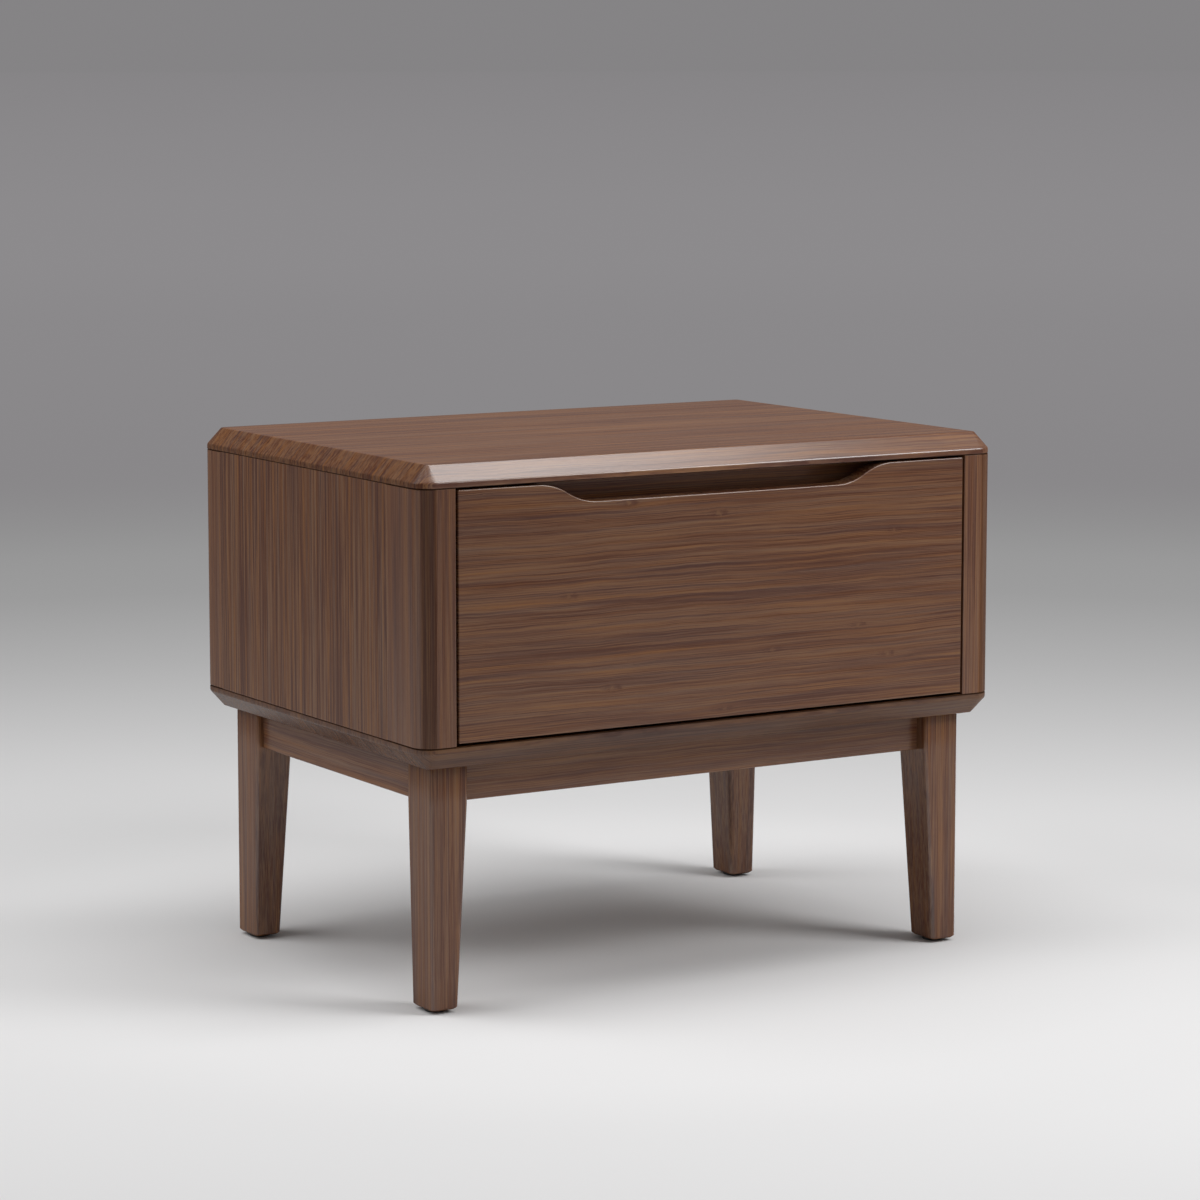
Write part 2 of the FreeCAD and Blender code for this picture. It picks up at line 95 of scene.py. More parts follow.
class WalnutSettings(bpy.types.PropertyGroup):
    body: colour("Body", "Main colour of the stained wood", (0.165, 0.0740, 0.0410))
    warm: colour("Light streak", "Colour of the lightest streaks in the stained wood", (0.238, 0.1150, 0.0555))
    dark: colour("Dark streak", "Colour of the darkest lines in the stained wood", (0.103, 0.0385, 0.0225))
    # the rubbed edge colour is partly thin stain and partly a painted highlight along the arrises
    rubbed: colour("Rubbed edge", "Colour where the stain is rubbed thin along the arrises", (0.270, 0.1350, 0.0800))
    contrast: number("Contrast", "Strength of the streaks and strips", 1.25, 4.0)
    strip: length("Strip width", "Width of one glued strip", 5.2 * MM)
    coat: number("Lacquer", "Weight of the lacquer on the flats", 0.40)
    slope_coat: number("Lacquer on slopes", "Weight of the lacquer gathered on arrises and chamfers", 0.95)
    gloss: number("Lacquer roughness", "Roughness of the satin lacquer", 0.25)


class LegSettings(bpy.types.PropertyGroup):
    top_wide: length("Top width", "Width of a leg at the aprons, across the front", 37.5 * MM)
    top_deep: length("Top depth", "Depth of a leg at the aprons, front to back", 44.0 * MM)
    foot_wide: length("Foot width", "Width of a leg at the floor, across the front", 27.0 * MM)
    foot_deep: length("Foot depth", "Depth of a leg at the floor, front to back", 37.0 * MM)
    rounding: length("Corner rounding", "Radius of a leg's four long corners", 4.0 * MM)
    foot_ease: length("Foot easing", "Width of the slope sanded round the foot", 2.0 * MM)
    tenon_thick: length("Tenon thickness", "Thickness of the apron tenons", 10.0 * MM)
    tenon_long: length("Tenon length", "Length of the apron tenons", 14.5 * MM)
    tenon_high: length("Tenon height", "Height of the apron tenons", 25.0 * MM)


class FixingSettings(bpy.types.PropertyGroup):
    thread_pitch: length("Thread pitch", "Distance between two turns of a screw's thread", 1.8 * MM)
    thread_depth: length("Thread depth", "Depth of a screw's thread", 0.55 * MM)
    point: length("Point length", "Length of a screw's point", 4.0 * MM)
    recess: length("Recess width", "Width of the driver's cross in a screw head", 0.9 * MM)
    flutes: count("Dowel flutes", "Number of flutes round a dowel", 12, 3, 40)
    flute_depth: length("Flute depth", "Depth of a dowel's flutes", 0.22 * MM)
    dowel_bevel: length("Dowel bevel", "Width of the bevel at a dowel's ends", 0.8 * MM)


class StageSettings(bpy.types.PropertyGroup):
    key_power: power("Key light", "Power of the long soft light overhead", 40.0)
    side_power: power("Side light", "Power of the large soft light behind on the left", 19.0)
    front_power: power("Front light", "Power of the small soft light in front on the right", 19.2)
    room_level: number("Room level", "Strength of the even light of the room", 0.228)
    near_floor: colour("Near floor", "Colour of the floor round the object", (0.790, 0.787, 0.790))
    far_floor: colour("Far floor", "Grey that the floor fades to far behind", (0.258, 0.250, 0.258))
    backdrop: colour("Backdrop", "Grey seen above the floor", (0.235, 0.229, 0.235))


class CabinetSettings(bpy.types.PropertyGroup):
    boards: PointerProperty(type=BoardSettings)
    walnut: PointerProperty(type=WalnutSettings)
    legs: PointerProperty(type=LegSettings)
    fixings: PointerProperty(type=FixingSettings)
    stage: PointerProperty(type=StageSettings)


# Short ways to add and join nodes, used for materials and for Geometry Nodes alike

class Wire:
    """A node's output. A sum written with it adds a Math node to its tree."""

    def __init__(self, socket):
        self.socket = socket
        self.tree = socket.id_data

    def __add__(self, other):
        return maths("ADD", self, other)

    def __mul__(self, other):
        return maths("MULTIPLY", self, other)

    def __sub__(self, other):
        return maths("SUBTRACT", self, other)

    def __rsub__(self, other):
        return maths("SUBTRACT", other, self)

    def __truediv__(self, other):
        return maths("DIVIDE", self, other)

    def __neg__(self):
        return self * -1.0

    __radd__ = __add__
    __rmul__ = __mul__


def follow(node, inputs):
    """Gives each named or numbered input of a node its value, or the wire that carries it."""
    for key, value in inputs.items():
        if isinstance(value, Wire):
            value.tree.links.new(value.socket, node.inputs[key])
        else:
            node.inputs[key].default_value = value


def add(tree, kind, inputs=None, **settings):
    """Adds a node and sets its options and inputs."""
    node = tree.nodes.new(kind)
    for key, value in settings.items():
        setattr(node, key, value)
    follow(node, inputs or {})
    return node


def wires(tree, kind, inputs=None, **settings):
    """Adds a node and returns its outputs, by name."""
    return {socket.name: Wire(socket) for socket in add(tree, kind, inputs, **settings).outputs}


def wire(kind, inputs, output=0, **settings):
    """Adds a node to the tree of the wires that feed it, and returns one output."""
    tree = next(value.tree for value in inputs.values() if isinstance(value, Wire))
    return Wire(add(tree, kind, inputs, **settings).outputs[output])


def maths(operation, *values, clamp=False):
    return wire("ShaderNodeMath", dict(enumerate(values)), operation=operation, use_clamp=clamp)


def spread(value, low, high, to_low=0.0, to_high=1.0, smooth=False):
    """Stretches the range low to high onto another, and holds it there."""
    return wire("ShaderNodeMapRange", {0: value, 1: low, 2: high, 3: to_low, 4: to_high}, clamp=True,
                interpolation_type="SMOOTHSTEP" if smooth else "LINEAR")


def vector(x, y, z):
    return wire("ShaderNodeCombineXYZ", {0: x, 1: y, 2: z})


def split(value, kind="XYZ"):
    """The three parts of a vector, or of a colour."""
    return [Wire(part) for part in add(value.tree, "ShaderNodeSeparate" + kind, {0: value}).outputs]


def vector_maths(operation, first, second, output=0):
    return wire("ShaderNodeVectorMath", {0: first, 1: second}, output, operation=operation)


def scaled(value, factor):
    return wire("ShaderNodeVectorMath", {0: value, "Scale": factor}, operation="SCALE")


def dot(first, second):
    return vector_maths("DOT_PRODUCT", first, second, "Value")


def noise(place, detail=2.0, roughness=0.5):
    return wire("ShaderNodeTexNoise", {"Vector": place, "Scale": 1.0, "Detail": detail, "Roughness": roughness})


def blend_colour(factor, first, second):
    return wire("ShaderNodeMix", {0: factor, 6: first, 7: second}, output=2, data_type="RGBA")


def rgba(value):
    return (value[0], value[1], value[2], 1.0)


def new_tree(name, kind, inputs, outputs):
    """A node tree with named inputs and outputs, each a default value or, in words, a kind of socket.
    Returns it with its inputs as wires."""
    tree = bpy.data.node_groups.new(name, kind)
    kinds = {float: "Float", int: "Int", tuple: "Vector", Vector: "Vector"}
    for way, sockets in (("INPUT", inputs), ("OUTPUT", outputs)):
        for title, value in sockets.items():
            named = isinstance(value, str)
            socket_kind = "NodeSocket" + (value if named else kinds[type(value)])
            socket = tree.interface.new_socket(title, in_out=way, socket_type=socket_kind)
            if not named:
                socket.default_value = value
    return tree, wires(tree, "NodeGroupInput")


# Materials. Wood is one node group for every board: its grain runs along the first axis,
# its strips lie side by side along the second, and are this deep along the third.

GRAIN = {  # which way a board's length, face and depth lie: rows give (along, across, deep)
    "flat_x": ((1, 0, 0), (0, 1, 0), (0, 0, 1)),
    "upright_x": ((1, 0, 0), (0, 0, 1), (0, -1, 0)),
    "upright_y": ((0, 1, 0), (0, 0, 1), (1, 0, 0)),
    "standing_side": ((0, 0, 1), (0, 1, 0), (-1, 0, 0)),
    "standing_back": ((0, 0, 1), (1, 0, 0), (0, 1, 0)),
}
MARK_CELL = (150 * MM, 52 * MM, 50 * MM)  # one node mark at most lies in each cell of this size
BARE_CELLS = 0.40  # the share of cells with no mark
PALE_TO_DARK = 0.27  # how far the streaks go from the body colour to the lightest or the darkest
REDDEN = (-0.58, 0.10, 1.45)  # how a streak's red, green and blue change as it turns greyer


def strip_wood():
    """The node group of a board glued from narrow strips, with streaks, fibres, pores and node marks."""
    if "strip_wood" in bpy.data.node_groups:
        return bpy.data.node_groups["strip_wood"]
    tree, given = new_tree(
        "strip_wood", "ShaderNodeTree",
        dict(Place="Vector", Body="Color", Warm="Color", Dark="Color", Strip="Float", Depth="Float", Waviness="Float",
             Marks="Float", Contrast="Float", Streak="Float"),
        dict(Color="Color", Roughness="Float", Height="Float"))
    along, across, deep = split(given["Place"])
    deep = deep * given["Depth"]

    # node marks: a blurred spot in some cells of a stretched grid
    cells = wires(tree, "ShaderNodeTexVoronoi", {
        "Vector": vector(along / MARK_CELL[0], across / MARK_CELL[1], deep / MARK_CELL[2]), "Scale": 1.0,
        "Randomness": 0.85})
    centre = split(cells["Position"])
    chance = split(cells["Color"], "Color")
    ragged = noise(scaled(given["Place"], 230.0), 3.0, 0.6) - 0.5
    off_along = ragged * (11 * MM) + (along - centre[0] * MARK_CELL[0])
    off_across = ragged * (-5 * MM) + (across - centre[1] * MARK_CELL[1])
    chosen = maths("GREATER_THAN", chance[0], BARE_CELLS) * spread(chance[1], 0.0, 1.0, 0.45, 1.0) * given["Marks"]

    def spot(half_length, half_width, shift=0.0, shift_up=0.0):
        one = (off_along - shift) / half_length
        two = (off_across - shift_up) / half_width
        reach = maths("SQRT", one * one + two * two)
        return spread(reach, 1.0, 0.15, smooth=True) * chosen

    # the grain wanders a little, and bows round each mark
    wander = noise(vector(along * 7.0, across * 16.0, deep * 16.0)) - 0.5
    ripple = noise(vector(along * 38.0, across * 60.0, deep), 1.0) - 0.5
    bow = off_across * spot(20 * MM, 7 * MM) * -0.55
    line = across + wander * (given["Waviness"] * (14 * MM)) + (ripple * (given["Waviness"] * (2.4 * MM)) + bow)

    def streaks(long, wide, detail, roughness=0.5, shift=0.0):
        return noise(vector(along / long, line / wide + shift, deep / wide), detail, roughness)

    broad = streaks(0.34, 15 * MM, 2.0, shift=3.7)
    middle = streaks(0.26, 3.6 * MM, 2.0, 0.55)
    fine = streaks(0.14, given["Streak"] * (0.9 * MM), 2.0, 0.6, shift=11.3)
    fibre = streaks(0.03, given["Streak"] * (0.5 * MM), 1.0, shift=5.1)
    pores = streaks(0.006, 0.28 * MM, 0.0, shift=1.9)

    # two sets of strips of different width give strips of 2 to 6 mm, each with its own tone
    def strips(share, shift):
        width = given["Strip"] * share
        place = vector(maths("FLOOR", (line + shift) / width), maths("FLOOR", deep / width), shift)
        return wire("ShaderNodeTexWhiteNoise", {"Vector": place}, noise_dimensions="3D")

    tone = strips(1.0, 0.2) * 0.55 + strips(0.61, 0.7) * 0.45

    def mixture(*parts):
        """Adds up patterns about their middle, each with its own share."""
        whole = 0.0
        for pattern, share in parts:
            whole = (pattern - 0.5) * share + whole
        return whole * given["Contrast"]

    tint = mixture((fine, 1.0), (fibre, 0.35), (middle, 0.40), (broad, 0.35), (tone, 0.12))
    paint = blend_colour(spread(tint, 0.0, -PALE_TO_DARK), given["Body"], given["Dark"])
    paint = blend_colour(spread(tint, 0.0, PALE_TO_DARK), paint, given["Warm"])
    # some streaks and strips turn a little redder or greyer as well, less so where the contrast is high
    turn = mixture((streaks(0.2, 4.0 * MM, 2.0, shift=8.8), 0.50), (strips(0.8, 2.3), 0.08))
    turn = turn * spread(given["Contrast"], 1.3, 2.8, 1.0, 0.6)
    paint = vector_maths("MULTIPLY", paint, vector(*(turn * change + 1.0 for change in REDDEN)))
    paint = scaled(paint, spread(pores, 0.34, 0.27, 1.0, 0.86))
    # a mark is a dark halo with a light eye and a dark fleck beside it
    paint = blend_colour(spot(15 * MM, 5.0 * MM) * 0.50, paint, given["Dark"])
    paint = blend_colour(spot(3.4 * MM, 3.2 * MM) * 0.70, paint, given["Warm"])
    paint = blend_colour(spot(4.2 * MM, 3.2 * MM, 6.5 * MM, 0.6 * MM) * 0.65, paint, given["Dark"])

    add(tree, "NodeGroupOutput", {
        "Color": paint, "Roughness": spread(fine, 0.3, 0.7, 0.52, 0.40), "Height": fibre * 0.5 + fine * 0.5})
    return tree


def new_material(name):
    """The material of this name, cleared to be drawn, with its tree and the place of each point."""
    material = bpy.data.materials.get(name) or bpy.data.materials.new(name)
    material.use_nodes = True
    tree = material.node_tree
    tree.nodes.clear()
    return material, tree, wires(tree, "ShaderNodeTexCoord")["Object"]


def close_material(surface):
    add(surface.tree, "ShaderNodeOutputMaterial", {"Surface": surface})


def bump(height, strength, distance):
    return wire("ShaderNodeBump", {"Strength": strength, "Distance": distance, "Height": height})


END_CONTRAST, END_DARKER = 1.1, 0.30  # how much more the streaks of end grain stand out, and how much it darkens
CORNER_SIDE, CORNER_FRONT = (0.03, 0.09), (0.54, 0.70)  # how far a face turns sideways and forwards on the corner that gets painted shade
SLOPED = (0.985, 0.90)  # how square a face lies to the axes, from flat to a slope
GROOVE_SHADE = 0.75  # how much painted shade darkens the wood in a joint groove
ARRIS_REACH = 1.3 * MM  # how far from an edge the stain is rubbed and the painted highlight reaches
ARRIS = (0.995, 0.86)  # how much a face agrees with its neighbourhood, from flat to an arris
CORNER_DRY, END_DRY = 2.4, 0.55  # how much lacquer a post's painted-shade corner and the end grain lose


def wood(name, grain, shift, body, warm, dark, rubbed, strip, depth=0.15, waviness=0.12, marks=0.0, contrast=1.0,
         streak=0.8, wear=0.40, coat=0.0, slope_coat=None, coat_ior=1.5, gloss=0.5, shine=0.3, thirst=1.0, corner=0.0,
         groove="none"):
    """A material for one board: where its pattern starts, which way it lies, and the look of the timber.
    Thirst is how much stain the end grain drinks, corner how much painted shade darkens the outer corner of a post,
    and groove says on which edges, above or below, painted shade darkens the joint grooves."""
    material, tree, place = new_material(name)
    place = wire("ShaderNodeMapping", {
        "Vector": place, "Rotation": Matrix(GRAIN[grain]).to_euler(), "Location": shift})
    # end grain takes the stain darker and more unevenly
    true = wires(tree, "ShaderNodeNewGeometry")
    end = maths("ABSOLUTE", dot(true["Normal"], GRAIN[grain][0]))
    open_ends = spread(end, 0.3, 0.7, 0.0, thirst)
    board = wires(tree, "ShaderNodeGroup", {
        "Place": place, "Body": rgba(body), "Warm": rgba(warm), "Dark": rgba(dark), "Strip": strip, "Depth": depth,
        "Waviness": waviness, "Marks": marks, "Streak": streak,
        "Contrast": open_ends * (END_CONTRAST * contrast) + contrast}, node_tree=strip_wood())
    shade = spread(end, 0.55, 0.98, 1.0, 1.0 - END_DARKER * thirst)
    # painted shade: the outer corner of a post is darkened where its faces turn between side and front
    facing = split(true["Normal"])
    sizes = [maths("ABSOLUTE", part) for part in facing]
    outward = maths("GREATER_THAN", facing[0] * split(true["Position"])[0], 0.0) * spread(sizes[0], *CORNER_SIDE)
    strip_shade = outward * spread(sizes[1], *CORNER_FRONT) * corner
    shade = shade * (1.0 - strip_shade)
    # painted shade: the wood is darkened in the joint grooves above and below a board
    flat = maths("MAXIMUM", sizes[0], maths("MAXIMUM", sizes[1], sizes[2]))
    sloped = spread(flat, *SLOPED)
    level = {"both": sizes[2], "above": facing[2], "below": -facing[2], "none": sizes[2] * 0.0}[groove]
    groove_shade = sloped * spread(level, 0.10, 0.30)
    shade = shade * (groove_shade * -GROOVE_SHADE + 1.0)
    paint = scaled(board["Color"], shade)
    # the stain is rubbed a little thinner along the arrises; the lighter paint there is partly a painted highlight
    rounded = wires(tree, "ShaderNodeBevel", {"Radius": ARRIS_REACH}, samples=3)["Normal"]
    worn_and_highlit = spread(dot(rounded, true["Normal"]), *ARRIS) * wear
    paint = blend_colour(worn_and_highlit, paint, rgba(rubbed))
    # the lacquer gathers on slopes and arrises, but end grain drinks it
    if slope_coat is not None:
        gathered = sloped * spread(end, 0.2, 0.6, 1.0, 1.0 - thirst)
        coat = spread(gathered, 0.0, 1.0, coat, slope_coat)
        coat = coat * maths("MULTIPLY_ADD", strip_shade, -CORNER_DRY, 1.0, clamp=True)
        coat = coat * (open_ends * -END_DRY + 1.0) * (1.0 - groove_shade)
    close_material(wire("ShaderNodeBsdfPrincipled", {
        "Base Color": paint, "Roughness": board["Roughness"], "Normal": bump(board["Height"], 0.25, 0.12 * MM),
        "IOR": 1.5, "Specular IOR Level": shine, "Coat Weight": coat, "Coat Roughness": gloss, "Coat IOR": coat_ior}))
    return material


def walnut(name, grain, shift, tone=1.0, contrast=1.0, coat=1.0, slope_coat=1.0, **look):
    """Stained walnut. Tone, contrast and coats are shares of the user's values."""
    given = bpy.context.scene.cabinet.walnut
    paints = ([part * tone for part in paint] for paint in (given.body, given.warm, given.dark, given.rubbed))
    return wood(name, grain, shift, *paints, given.strip, contrast=contrast * given.contrast, coat=given.coat * coat,
                slope_coat=given.slope_coat * slope_coat, coat_ior=1.75, gloss=given.gloss, shine=0.0, **look)


def hardwood(name, grain, shift):
    return wood(name, grain, shift, (0.47, 0.325, 0.195), (0.53, 0.36, 0.20), (0.36, 0.235, 0.14), (0.50, 0.37, 0.25),
                38 * MM, depth=0.4, waviness=0.9, contrast=0.6, streak=1.6, wear=0.3, coat=0.35, gloss=0.35)


def plywood(name, grain, shift, body, warm, dark):
    return wood(name, grain, shift, body, warm, dark, warm, 120 * MM, depth=0.5, waviness=1.6, contrast=0.7,
                streak=3.0, wear=0.2, coat=0.15, gloss=0.45)


def beech(name):
    return wood(name, "standing_side", (0.3, 0.1, 0.2), (0.50, 0.34, 0.19), (0.56, 0.38, 0.21), (0.40, 0.25, 0.14),
                (0.55, 0.40, 0.26), 12 * MM, depth=1.0, waviness=0.2, contrast=0.6, streak=1.0, wear=0.2)


def metal(name, tint, roughness, brushed, spangle):
    """Plated steel: a fine drawn line along Y, a faint spangle and rubbed patches."""
    material, tree, place = new_material(name)
    x, y, z = split(place)
    drawn = noise(vector(x * 2200.0, y * 45.0, z * 2200.0))
    cloud = noise(scaled(place, 90.0), 3.0) - 0.5
    crystal = wires(tree, "ShaderNodeTexVoronoi", {"Vector": place, "Scale": 420.0})["Color"]
    shade = (split(crystal, "Color")[0] - 0.5) * spangle + cloud * 0.18
    shade = 1.0 + shade + (drawn - 0.5) * brushed
    close_material(wire("ShaderNodeBsdfPrincipled", {
        "Base Color": scaled(tint, shade), "Roughness": roughness + cloud * 0.25, "Metallic": 1.0,
        "Normal": bump(drawn, 0.12, 0.05 * MM)}))
    return material


def moulded(name, tint, roughness, grain_size, lift):
    """Moulded plastic or rubber: a fine grain, slight cloudiness and scuffs."""
    material, tree, place = new_material(name)
    grain = wires(tree, "ShaderNodeTexVoronoi", {"Vector": place, "Scale": 1.0 / grain_size})["Distance"]
    cloud = noise(scaled(place, 160.0), 4.0, 0.6)
    close_material(wire("ShaderNodeBsdfPrincipled", {
        "Base Color": blend_colour(spread(cloud, 0.35, 0.7), rgba(tint), rgba([part * 1.5 + 0.01 for part in tint])),
        "Roughness": spread(cloud, 0.3, 0.7, roughness - 0.08, roughness + 0.12),
        "Normal": bump(grain, lift, 0.05 * MM)}))
    return material


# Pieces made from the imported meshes

WELD = 0.001 * MM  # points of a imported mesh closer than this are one
SEAM = 0.002 * MM  # and points of a wound grid
ONE_FACE = math.radians(0.5)  # faces turned less than this lie in one flat area
SHARP = math.radians(28.0)  # a corner turned more than this is an edge to ease
JOINT_REACH = 0.35 * MM  # an edge this close to another piece lies in a joint
LEVEL_RISE = 0.5  # an edge that rises less than this share of its length counts as level
END_REACH = 0.3 * MM  # how near a turned solid's end its width is taken
UP = Vector((0.0, 0.0, 1.0))


def merged(node):
    """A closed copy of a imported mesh."""
    work = bmesh.new()
    work.from_mesh(frame["nodes"][node].data)
    bmesh.ops.remove_doubles(work, verts=work.verts, dist=WELD)
    return work


def axis_of(points):
    """Where a turned solid starts, the way it points from its wider end, and its length."""
    low = Vector([min(p[i] for p in points) for i in range(3)])
    high = Vector([max(p[i] for p in points) for i in range(3)])
    run = max(range(3), key=lambda i: high[i] - low[i])
    middle = (low + high) / 2

    def width(end):
        near = [p for p in points if abs(p[run] - end) < END_REACH]
        return max(abs(p[i] - middle[i]) for p in near for i in range(3) if i != run)

    head_low = width(low[run]) >= width(high[run])
    start, aim = middle.copy(), Vector((0.0, 0.0, 0.0))
    start[run] = low[run] if head_low else high[run]
    aim[run] = 1.0 if head_low else -1.0
    return start, aim, high[run] - low[run]


def turned_solids(node):
    """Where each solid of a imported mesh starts, the way it points and its length."""
    work = merged(node)
    found, seen = [], set()
    for start in work.verts:
        if start in seen:
            continue
        seen.add(start)
        stack, group = [start], []
        while stack:
            here = stack.pop()
            group.append(here.co.copy())
            for edge in here.link_edges:
                there = edge.other_vert(here)
                if there not in seen:
                    seen.add(there)
                    stack.append(there)
        found.append(axis_of(group))
    work.free()
    return found


SEARCH = {}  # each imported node's box and search tree, filled at the first use


def touching(node, point):
    """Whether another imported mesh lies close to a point, which tells a joint from an edge that shows."""
    if not SEARCH:
        for name, other in frame["nodes"].items():
            faces = [list(face.vertices) for face in other.data.polygons]
            SEARCH[name] = (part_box(name), BVHTree.FromPolygons([vert.co for vert in other.data.vertices], faces))
    for name, ((low, high), tree) in SEARCH.items():
        if name != node and all(low[i] - JOINT_REACH <= point[i] <= high[i] + JOINT_REACH for i in range(3)):
            if tree.find_nearest(point, JOINT_REACH)[0] is not None:
                return True
    return False


def rim_groups(edges):
    """Sharp edges gathered into connected lines."""
    left, groups = set(edges), []
    while left:
        stack, group = [left.pop()], []
        while stack:
            edge = stack.pop()
            group.append(edge)
            for vert in edge.verts:
                for other in vert.link_edges:
                    if other in left:
                        left.remove(other)
                        stack.append(other)
        groups.append(group)
    return groups


def new_object(name, data):
    made = bpy.data.objects.new(name, data)
    bpy.context.scene.collection.objects.link(made)
    return made


def finish_piece(maker, name, nodes, material):
    """Makes the plain mesh that a maker's modifiers give, sets it on its body in place of its nodes, and hides them."""
    graph = bpy.context.evaluated_depsgraph_get()
    mesh = bpy.data.meshes.new_from_object(maker.evaluated_get(graph), preserve_all_data_layers=True, depsgraph=graph)
    bpy.data.objects.remove(maker)
    work = bmesh.new()
    work.from_mesh(mesh)
    if work.calc_volume(signed=True) <= 0:
        raise RuntimeError(name + " came out empty or inside out")
    work.free()
    mesh.name = name
    mesh.materials.clear()
    mesh.materials.append(material)
    piece = new_object(name, mesh)
    body = next(body for body, members in frame["record"]["behaviour"]["bodies"].items() if nodes[0] in members)
    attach(piece, body)
    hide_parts(*nodes)


def keep_flats(maker):
    """Shades broad faces flat between their rounded edges."""
    shading = maker.modifiers.new("flat faces", "WEIGHTED_NORMAL")
    shading.keep_sharp = True
    shading.weight = 50


def eased(node, name, material, easing=None, joint_easing=None, level_joints=False):
    """A packed board with every edge that shows rounded over and every joint left as a fine groove."""
    given = bpy.context.scene.cabinet.boards
    easing = easing or given.easing
    joint_easing = joint_easing or given.joint_easing
    work = merged(node)
    bmesh.ops.dissolve_limit(work, angle_limit=ONE_FACE, verts=work.verts, edges=work.edges)
    weight = work.edges.layers.float.new("bevel_weight_edge")
    sharp = [edge for edge in work.edges if len(edge.link_faces) == 2 and edge.calc_face_angle(0.0) > SHARP]
    for edge in sharp:
        edge.smooth = False
    for group in rim_groups(sharp):
        points = [vert.co for edge in group for vert in edge.verts]
        if max(max(p[i] for p in points) - min(p[i] for p in points) for i in range(3)) <= given.hole_size:
            continue
        for edge in (edge for edge in group if edge.is_convex):
            first, last = edge.verts[0].co, edge.verts[1].co
            edge[weight] = 1.0
            if touching(node, (first + last) / 2):
                level = level_joints and abs(first.z - last.z) < LEVEL_RISE * (first - last).length
                edge[weight] = (given.level_joint if level else joint_easing) / easing
            edge.smooth = True
    for face in work.faces:
        face.smooth = True
    mesh = bpy.data.meshes.new(name)
    work.to_mesh(mesh)
    work.free()
    maker = new_object(name + "_maker", mesh)
    bevel = maker.modifiers.new("easing", "BEVEL")
    bevel.limit_method = "WEIGHT"
    bevel.width = easing
    bevel.segments = given.easing_steps
    bevel.use_clamp_overlap = False
    bevel.miter_outer = "MITER_SHARP"
    keep_flats(maker)
    finish_piece(maker, name, [node], material)


# Pieces grown by Geometry Nodes: turned fixings that repeat, and the tapered legs

HEAD_ROWS = 6  # rows of points in a screw's head
TURN_ROWS = 6  # and in each turn of its thread
SCREW_SIDES, GLIDE_SIDES, DRILL_SIDES = 16, 48, 24
FLUTE_FACES = 4.0  # faces across each flute of a dowel
TAPER_ROWS = 6  # rows of points between a leg's foot and its knee
QUARTER_TURN = math.tau / 4


def grown_tree(kind, sizes):
    """The Geometry Nodes tree of a kind of piece. Its inputs are the sizes it is first grown with, and a
    material. It ends in real faces, smooth, with that material."""
    if kind in bpy.data.node_groups:
        return bpy.data.node_groups[kind]
    tree, given = new_tree(kind, "GeometryNodeTree", {"Geometry": "Geometry", **sizes, "Material": "Material"},
                           {"Geometry": "Geometry"})
    made = wire("GeometryNodeRealizeInstances", {0: SHAPES[kind](tree, given)})
    made = wire("GeometryNodeSetShadeSmooth", {"Geometry": made})
    made = wire("GeometryNodeSetMaterial", {"Geometry": made, "Material": given["Material"]})
    add(tree, "NodeGroupOutput", {0: made})
    return tree


def pick(index, values):
    """The value that belongs to a row."""
    node = add(index.tree, "GeometryNodeIndexSwitch", data_type="FLOAT")
    while len(node.index_switch_items) < len(values):
        node.index_switch_items.new()
    follow(node, dict(enumerate([index] + values)))
    return Wire(node.outputs[0])


def wound_grid(tree, rows, columns):
    """A grid to be wound round an axis: its mesh, and the row and turn (0 to 1) of each point."""
    across = columns + 1
    grid = add(tree, "GeometryNodeMeshGrid", {"Size X": 1.0, "Size Y": 1.0, "Vertices X": rows, "Vertices Y": across})
    index = wires(tree, "GeometryNodeInputIndex")["Index"]
    row = maths("FLOOR", (index + 0.5) / across)
    return wire("GeometryNodeFlipFaces", {"Mesh": Wire(grid.outputs[0])}), row, (index - row * across) / columns


def moved(shape, place):
    return wire("GeometryNodeSetPosition", {"Geometry": shape, "Position": place})


def welded(shape):
    """Joins the seam and the poles of a wound grid."""
    return wire("GeometryNodeMergeByDistance", {"Geometry": shape, "Distance": SEAM})


def cut_out(shape, *tools):
    cut = add(shape.tree, "GeometryNodeMeshBoolean", {0: shape}, operation="DIFFERENCE", solver="EXACT")
    for tool in tools:
        follow(cut, {1: tool})
    return Wire(cut.outputs[0])


def wound(grid, turn, radius, height):
    """Winds the grid round +Z at a radius and height for each point."""
    angle = turn * math.tau
    place = vector(radius * maths("COSINE", angle), radius * maths("SINE", angle), height)
    return welded(moved(grid, place))


def set_out(given, shape):
    """A copy of the shape at each point of the carrier, its +Z turned to the point's aim."""
    aim = add(shape.tree, "GeometryNodeInputNamedAttribute", {"Name": "aim"}, data_type="FLOAT_VECTOR").outputs[0]
    rotation = wire("FunctionNodeAlignRotationToVector", {"Vector": Wire(aim)}, axis="Z")
    return wire("GeometryNodeInstanceOnPoints", {
        "Points": given["Geometry"], "Instance": shape, "Rotation": rotation})


